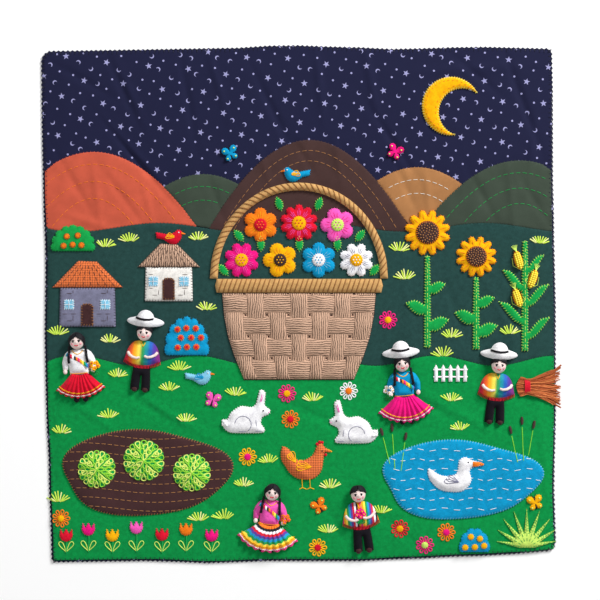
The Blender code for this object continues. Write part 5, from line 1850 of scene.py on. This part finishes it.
class ARPILLERA_OT_dolls(PieceOperator, bpy.types.Operator):
    """Sew on the stuffed dolls"""

    bl_idname = "arpillera.dolls"
    bl_label = "Dolls"

    def build(self):
        for number, doll in enumerate(DOLLS, 1):
            x, y, tilt, woman, hat, coat, lower, half_angle, radius = doll
            name = f"doll_{number}"
            seat = cloth_top(x, y + 35) + ON_PANEL
            place = (Matrix.Translation((x, y, seat))
                     @ Matrix.Rotation(math.radians(tilt), 4, "Z")
                     @ Matrix.Scale(DOLL_SCALE, 4))
            if woman:
                self.skirt(name, place, half_angle, radius, lower)
                self.feet(name, place, 4.6, -0.4, "black")
            else:
                self.feet(name, place, 5.4, 1.2, "soil")
                applique(name + "_trouser_cloth", node_outline(name + "_trousers"),
                         felt("black"), "black", ON_PANEL, 2.0, pad=3.4, soft=5.0, step=2.0,
                         node=name + "_trousers", stitch=None)
            self.coat(name, place, woman, coat)
            self.head(name, place)
            self.hair(name, place, woman)
            if hat:
                self.hat(name, place)
            if number in POSIES:
                self.posy(name, place, *POSIES[number])

    def local_piece(self, name, bm, place, material, slot, node=None):
        """Put a piece made in the doll's own place onto the cloth."""
        bmesh.ops.transform(bm, matrix=place, verts=bm.verts[:])
        return make_piece(name, bm, material, slot, node)

    def local_threads(self, name, paths, place, radius, material, slot, resolution=0, taper=None):
        """Lay threads given in the doll's own place."""
        moved = [[tuple(place @ Vector(p)) for p in path] for path in paths]
        return threads(name, moved, radius, material, slot, resolution, taper)

    def skirt(self, name, place, half_angle, radius, slot):
        """Gathered skirt with deep pleats and bands along the hem."""
        bm = bmesh.new()
        across = SKIRT_PLEATS * 8
        bmesh.ops.create_grid(bm, x_segments=across, y_segments=14, size=1.0)
        uv = bm.loops.layers.uv.new("cloth")
        for face in bm.faces:
            for loop in face.loops:
                loop[uv].uv = (loop.vert.co.x * half_angle * 0.5, (1 - loop.vert.co.y) * 11)
        lower = bm.verts[:]
        made = bmesh.ops.extrude_face_region(bm, geom=bm.faces[:])["geom"]
        upper = {g for g in made if isinstance(g, bmesh.types.BMVert)}
        for vert in bm.verts:
            share = vert.co.x
            down = (1 - vert.co.y) / 2
            wave = math.cos(math.pi * SKIRT_PLEATS * (share + 1))
            fine = math.cos(math.pi * SKIRT_PLEATS * 2.7 * (share + 1) + 1)
            angle = math.radians(-90 + half_angle * share * (0.86 + 0.14 * down))
            reach = SKIRT_WAIST + (radius + 0.7 * wave - SKIRT_WAIST) * down
            top = 3.4 + 3.0 * math.sin(math.pi * down) - 0.6 * down
            ridge = (0.35 + 0.75 * down) * wave + 0.22 * fine
            edge = 1 - abs(share) ** 6
            z = 1.0 + edge * (top + ridge) if vert in upper else 0.0
            vert.co = (reach * math.cos(angle), SKIRT_APEX + reach * math.sin(angle), z)
        bmesh.ops.recalc_face_normals(bm, faces=bm.faces[:])
        bands = self.skirt_cloth(slot)
        piece = self.local_piece(name + "_skirt_cloth", bm, place, bands, slot, name + "_skirt")
        rick = []
        for level in (0.8, 0.92):
            line = []
            for i in range(across + 1):
                share = 2 * i / across - 1
                angle = math.radians(-90 + half_angle * share)
                reach = SKIRT_WAIST + (radius - SKIRT_WAIST) * level + 0.5 * (-1) ** i
                spot = place @ Vector((reach * math.cos(angle), SKIRT_APEX + reach * math.sin(angle), 0))
                line.append((spot.x, spot.y, height(spot.x, spot.y) + 0.2))
            rick.append(line)
        threads(name + "_hem_braid", rick[:1], 0.5, thread("gold"), "gold")
        threads(name + "_hem_line", rick[1:], 0.45, thread("white"), "white")

    def skirt_cloth(self, slot):
        """Felt skirt, or a banded one for the pale blue."""
        if slot == "sky_blue":
            return striped_cotton("handwoven_skirt_bands", RAINBOW[::-1], 2.2, "y")
        return felt(slot)

    def feet(self, name, place, apart, level, slot):
        """Small stuffed shoes."""
        bm = bmesh.new()
        for side in (-1, 1):
            matrix = Matrix.Translation((side * apart, level, 2.4)) @ Matrix.Diagonal((2.9, 3.0, 2.3, 1))
            bmesh.ops.create_uvsphere(bm, u_segments=14, v_segments=9, radius=1.0, matrix=matrix)
        self.local_piece(name + "_shoes", bm, place, felt(slot), slot)

    def coat(self, name, place, woman, slot):
        """Stuffed tunic or striped poncho with its collar, sash and fringe."""
        outline = node_outline(name + "_coat")
        uv = place.inverted()
        if woman:
            material = felt(slot)
        else:
            material = striped_cotton("handwoven_spectrum", SPECTRUM, 3.9, blend=True)
            if name == "doll_6":
                material = striped_cotton("handwoven_stripes", RAINBOW, 1.9)
        piece = applique(name + "_coat_cloth", refined(outline, 0.8), material, slot, ON_PANEL,
                         2.0, pad=sizes().doll_pad, soft=7.5, step=2.0, node=name + "_coat",
                         stitch=None, uv=uv)
        if woman:
            bm = bmesh.new()
            for side in (-1, 1):
                matrix = (Matrix.Translation((side * 14.0, 28.4, 3.0))
                          @ Matrix.Diagonal((2.2, 2.6, 2.2, 1)))
                bmesh.ops.create_uvsphere(bm, u_segments=12, v_segments=8, radius=1.0,
                                          matrix=matrix)
            self.local_piece(name + "_hands", bm, place, felt("skin"), "skin")
        else:
            self.arms(name, place)
        lines = []
        if woman:
            lines += self.ground_line(place, [(-6, 49.6), (-3, 46.6), (0, 45.4), (3, 46.6), (6, 49.6)])
            lines += self.ground_line(place, [(-9.6, 26.4), (-5, 26), (0, 25.8), (5, 26), (9.6, 26.4)])
            self.shawl(name, place)
        else:
            fringe = []
            for i in range(27):
                share = i / 13 - 1
                fx = 18.0 * share
                fy = 24.9 + 5.0 * abs(share) ** 2.2
                a = place @ Vector((fx, fy + 0.8, 0))
                b = place @ Vector((fx * 1.03, fy - 2.6, 0))
                fringe.append([(a.x, a.y, height(a.x, a.y) + 0.1),
                               (b.x, b.y, max(height(b.x, b.y), place.translation.z) + 0.5)])
            threads(name + "_fringe", fringe, 0.4, thread("red"), "red")
            lines += self.ground_line(place, [(-2.4, 50), (0, 44.5), (2.4, 50)])
        threads(name + "_trim", lines, 0.5, thread("gold" if slot != "gold" else "red"), "gold")
        return piece

    def arms(self, name, place):
        """Thin stuffed arms folded over the poncho."""
        paths = []
        for side in (-1, 1):
            line = []
            for k, (px, py) in enumerate(((14.6, 38.5), (13.0, 36.2), (9.5, 34.2), (5.6, 33.4),
                                          (2.4, 34.4))):
                spot = place @ Vector((side * px, py + side * 0.8, 0))
                line.append((spot.x, spot.y, height(spot.x, spot.y) + 0.2 + min(k, 2) * 0.6))
            paths.append(line)
        threads(name + "_arms", paths, 1.9, felt("skin"), "skin", resolution=2,
                taper=lambda s: 1.0 - 0.25 * s)

    def ground_line(self, place, points):
        """Thread laid on the coat through points in the doll's own place."""
        line = []
        for a, b in zip(points, points[1:]):
            for k in range(4):
                spot = place @ Vector((a[0] + (b[0] - a[0]) * k / 4, a[1] + (b[1] - a[1]) * k / 4, 0))
                line.append((spot.x, spot.y, height(spot.x, spot.y) + 0.25))
        return [line]

    def shawl(self, name, place):
        """Striped carrying cloth knotted across the chest."""
        strip = [(-12.5, 44.5), (-10.5, 47.6), (1, 41.8), (10.6, 34.2), (9.6, 30.8), (-1, 38.4)]
        outline = [tuple((place @ Vector((px, py, 0))).xy) for px, py in strip][::-1]
        applique(name + "_shawl", outline, striped_cotton("handwoven_stripes", RAINBOW, 1.9),
                 "rainbow", ON_PANEL + 2.0 + sizes().doll_pad - 0.8, 1.2, pad=0.8, soft=2.0,
                 step=2.0, stitch=None, uv=place.inverted(), loops=(0.5,))

    def head(self, name, place):
        """Stuffed cotton head with a small nose and an embroidered face."""
        bm = bmesh.new()
        bmesh.ops.create_uvsphere(bm, u_segments=28, v_segments=18, radius=1.0)
        bmesh.ops.scale(bm, vec=HEAD_RADII, verts=bm.verts[:])
        floor = -HEAD_RADII[2] * HEAD_FLAT
        for vert in bm.verts:
            nose = math.exp(-(vert.co.x / 1.3) ** 2 - ((vert.co.y + 0.6) / 1.5) ** 2)
            vert.co.z = max(vert.co.z + (0.9 * nose if vert.co.z > 0 else 0), floor)
        bmesh.ops.translate(bm, vec=(0, HEAD_CENTRE, -floor), verts=bm.verts[:])
        piece = self.local_piece(name + "_head_cloth", bm, place, felt("skin"), "skin",
                                 name + "_head")
        lashes = [self.face_stitch((side * 1.6, 59.4), (side * 4.2, 59.2), sag=-0.6)
                  for side in (-1, 1)]
        brows = [self.face_stitch((side * 1.6, 61.6), (side * 4.3, 61.3), sag=-0.6)
                 for side in (-1, 1)]
        self.local_threads(name + "_lashes", lashes + brows, place, 0.45, thread("black"), "black")
        mouth = [self.face_stitch((-1.8, 54.9), (1.8, 54.9), sag=0.8)]
        self.local_threads(name + "_mouth", mouth, place, 0.6, thread("red"), "red")
        self.face_spots(name + "_eyes", place, 2.9, 58.5, 1.0, felt("black"), "black")
        self.face_spots(name + "_cheeks", place, 4.4, 56.0, 1.5, rouged_cotton(), "pink")

    def face_spots(self, name, place, x, y, size, material, slot):
        """A pair of small round stitches on the face."""
        bm = bmesh.new()
        for side in (-1, 1):
            spot = Vector((side * x, y, self.face_height(side * x, y) - 0.1))
            slope = Vector((side * x / HEAD_RADII[0] ** 2, (y - HEAD_CENTRE) / HEAD_RADII[1] ** 2,
                            (spot.z - HEAD_RADII[2] * HEAD_FLAT) / HEAD_RADII[2] ** 2))
            matrix = (Matrix.Translation(spot) @ slope.to_track_quat("Z", "Y").to_matrix().to_4x4()
                      @ Matrix.Diagonal((size, size, 0.5, 1)))
            bmesh.ops.create_uvsphere(bm, u_segments=10, v_segments=6, radius=1.0, matrix=matrix)
        self.local_piece(name, bm, place, material, slot)

    def face_height(self, x, y):
        """Height of the front of the head in the doll's own place."""
        rx, ry, rz = HEAD_RADII
        rest = 1 - (x / rx) ** 2 - ((y - HEAD_CENTRE) / ry) ** 2
        return rz * HEAD_FLAT + rz * math.sqrt(max(rest, 0.0))

    def face_stitch(self, start, end, sag=0.0):
        """Stitch on the face."""
        path = []
        for k in range(5):
            s = k / 4
            x = start[0] + (end[0] - start[0]) * s
            y = start[1] + (end[1] - start[1]) * s - sag * math.sin(math.pi * s)
            path.append((x, y, self.face_height(x, y) + 0.15))
        return path

    def hair(self, name, place, woman):
        """Black yarn parted in the middle, with two plaits on the women."""
        rx, ry, rz = (r * 1.09 for r in HEAD_RADII)
        self.hair_cap(name, place)
        paths = []
        for side in (-1, 1):
            for i in range(13):
                start = 4.8 + 3.9 * i / 12
                end = (-4.5 if woman else 0.5) + 7.5 * i / 12
                path = []
                for k in range(9):
                    s = k / 8
                    turn = math.radians(4 + 88 * s)
                    y = start + (end - start) * s ** 1.2
                    ring = math.sqrt(max(1 - (y / ry) ** 2, 0.02))
                    path.append((side * rx * ring * math.sin(turn), HEAD_CENTRE + y,
                                 HEAD_RADII[2] * HEAD_FLAT + rz * ring * math.cos(turn)))
                paths.append(path)
        self.local_threads(name + "_hair", paths, place, 0.7, thread("black"), "black",
                           resolution=1)
        if not woman:
            return
        plaits = []
        for side in (-1, 1):
            for strand in range(3):
                path = []
                for k in range(27):
                    s = k / 26
                    turn = math.tau * (s * 4.2 + strand / 3)
                    x = side * (8.0 + 1.6 * s) + 0.9 * math.cos(turn)
                    y = HEAD_CENTRE - 5 - 17 * s
                    spot = place @ Vector((x, y, 0))
                    base = max(height(spot.x, spot.y) - place.translation.z, 0) / DOLL_SCALE
                    path.append((x, y, max(base, 4.2 - 2 * s) + 1.1 + 0.5 * math.sin(turn)))
                plaits.append(path)
        self.local_threads(name + "_plaits", plaits, place, 0.72, thread("black"), "black",
                           resolution=1)

    def hair_cap(self, name, place):
        """Yarn base sewn over the crown, with a hairline above the brow."""
        floor = -HEAD_RADII[2] * HEAD_FLAT
        bm = bmesh.new()
        bmesh.ops.create_uvsphere(bm, u_segments=24, v_segments=16, radius=1.0)
        bmesh.ops.scale(bm, vec=[r * 1.07 for r in HEAD_RADII], verts=bm.verts[:])
        bmesh.ops.bisect_plane(bm, geom=bm.verts[:] + bm.edges[:] + bm.faces[:],
                               plane_co=(0, 4.0, 2.0), plane_no=(0, -1, 0.3), clear_outer=True)
        bmesh.ops.holes_fill(bm, edges=bm.edges[:], sides=0)
        for vert in bm.verts:
            vert.co.z = max(vert.co.z, floor)
        bmesh.ops.translate(bm, vec=(0, HEAD_CENTRE, -floor), verts=bm.verts[:])
        self.local_piece(name + "_hair_cap", bm, place, felt("black"), "black")

    def hat(self, name, place):
        """Felt hat pulled over the brow: a wide brim with a domed crown and a ribbon."""
        node = name + "_hat"
        inverse = place.inverted()
        drop = place.to_3x3() @ Vector((0, -HAT_DROP, 0))
        outline = [(x + drop.x, y + drop.y) for x, y in refined(node_outline(node), 0.7)]

        def over_brow(x, y):
            spot = inverse @ Vector((x, y, 0))
            return (HAT_LIFT * math.exp(-(spot.x / 11) ** 2)
                    * (1 - 0.4 * smooth_step((spot.y - 68) / 12)))
        applique(name + "_hat_felt", outline, felt("white"), "white", ON_PANEL, 1.6, pad=3.6,
                 soft=7.0, step=2.0, node=node, stitch=None, lift=over_brow)
        ribbon = []
        for level in (71.4, 72.5):
            ribbon += self.ground_line(place, [(-9.4, level + 1.5), (-5, level + 0.4), (0, level),
                                               (5, level + 0.4), (9.4, level + 1.5)])
        threads(name + "_ribbon", ribbon, 0.7, thread("black"), "black")

    def posy(self, name, place, x, y, slot, heart):
        """Small bunch of yarn flowers in the hand."""
        petals = []
        hearts = []
        leaves = []
        for fx, fy in ((0, 0), (-3.6, 2.2), (3.6, 2.2), (-1.9, 5.4), (1.9, 5.4)):
            centre = place @ Vector((x + fx, y + fy, 0))
            hearts.append(tuple(centre.xy))
            petals += [(centre.x + 1.5 * math.cos(math.tau * k / 5),
                        centre.y + 1.5 * math.sin(math.tau * k / 5)) for k in range(5)]
        for k in range(-2, 3):
            root = place @ Vector((x, y - 1.5, 0))
            leaves.append(leaf_loop(root.x, root.y, -90 + 20 * k, 7, 2.6))
        threads(name + "_posy_leaves", leaves, 0.55, thread("leaf"), "leaf")
        knots(name + "_posy", petals, 1.35, thread(slot), slot, flat=0.9)
        knots(name + "_posy_hearts", hearts, 1.0, thread(heart), heart, flat=1.9)


class ARPILLERA_PT_sidebar(bpy.types.Panel):
    """Lists the pieces of the textile"""

    bl_label = "Arpillera textile"
    bl_idname = "ARPILLERA_PT_sidebar"
    bl_space_type = "VIEW_3D"
    bl_region_type = "UI"
    bl_category = "Arpillera"

    def draw(self, context):
        """Show the sizes, the colours and one button for each operator."""
        layout = self.layout
        for group in (context.scene.arpillera_sizes, context.scene.arpillera_colours):
            for key in group.bl_rna.properties.keys():
                if key not in {"rna_type", "name"}:
                    layout.prop(group, key)
        for operator in OPERATORS:
            layout.operator(operator.bl_idname)


OPERATORS = (
    ARPILLERA_OT_stage, ARPILLERA_OT_ground, ARPILLERA_OT_panels, ARPILLERA_OT_rim,
    ARPILLERA_OT_hill_rows, ARPILLERA_OT_moon, ARPILLERA_OT_houses, ARPILLERA_OT_basket,
    ARPILLERA_OT_flowers, ARPILLERA_OT_tall_plants, ARPILLERA_OT_meadow_patches,
    ARPILLERA_OT_agave, ARPILLERA_OT_animals, ARPILLERA_OT_small_things, ARPILLERA_OT_grass,
    ARPILLERA_OT_sheaf, ARPILLERA_OT_dolls,
)
CLASSES = (ArpilleraSizes, ArpilleraColours, *OPERATORS, ARPILLERA_PT_sidebar)


def register():
    """Register the classes and their settings."""
    for cls in CLASSES:
        bpy.utils.register_class(cls)
    bpy.types.Scene.arpillera_sizes = bpy.props.PointerProperty(type=ArpilleraSizes)
    bpy.types.Scene.arpillera_colours = bpy.props.PointerProperty(type=ArpilleraColours)


def unregister():
    """Remove the settings and the classes."""
    del bpy.types.Scene.arpillera_colours
    del bpy.types.Scene.arpillera_sizes
    for cls in reversed(CLASSES):
        bpy.utils.unregister_class(cls)


def gather_seams():
    """Remember where pieces are sewn down, so that the cloth dips there."""
    spots = []
    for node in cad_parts:
        if node == "ground_cloth" or node.endswith("_head") and node.startswith("doll"):
            continue
        spots += [spot for spot, _ in stations(node_outline(node), 2.5)]
    tree = KDTree(len(spots))
    for index, spot in enumerate(spots):
        tree.insert((spot.x, spot.y, 0.0), index)
    tree.balance()
    seams["tree"] = tree


def main():
    """Build everything."""
    register()
    gather_seams()
    bpy.ops.arpillera.stage()
    bpy.ops.arpillera.ground()
    bpy.ops.arpillera.panels()
    bpy.ops.arpillera.rim()
    bpy.ops.arpillera.hill_rows()
    bpy.ops.arpillera.moon()
    bpy.ops.arpillera.houses()
    bpy.ops.arpillera.basket()
    bpy.ops.arpillera.flowers()
    bpy.ops.arpillera.tall_plants()
    bpy.ops.arpillera.meadow_patches()
    bpy.ops.arpillera.agave()
    bpy.ops.arpillera.animals()
    bpy.ops.arpillera.small_things()
    bpy.ops.arpillera.grass()
    bpy.ops.arpillera.sheaf()
    bpy.ops.arpillera.dolls()
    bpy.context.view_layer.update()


if __name__ == "__main__":
    main()
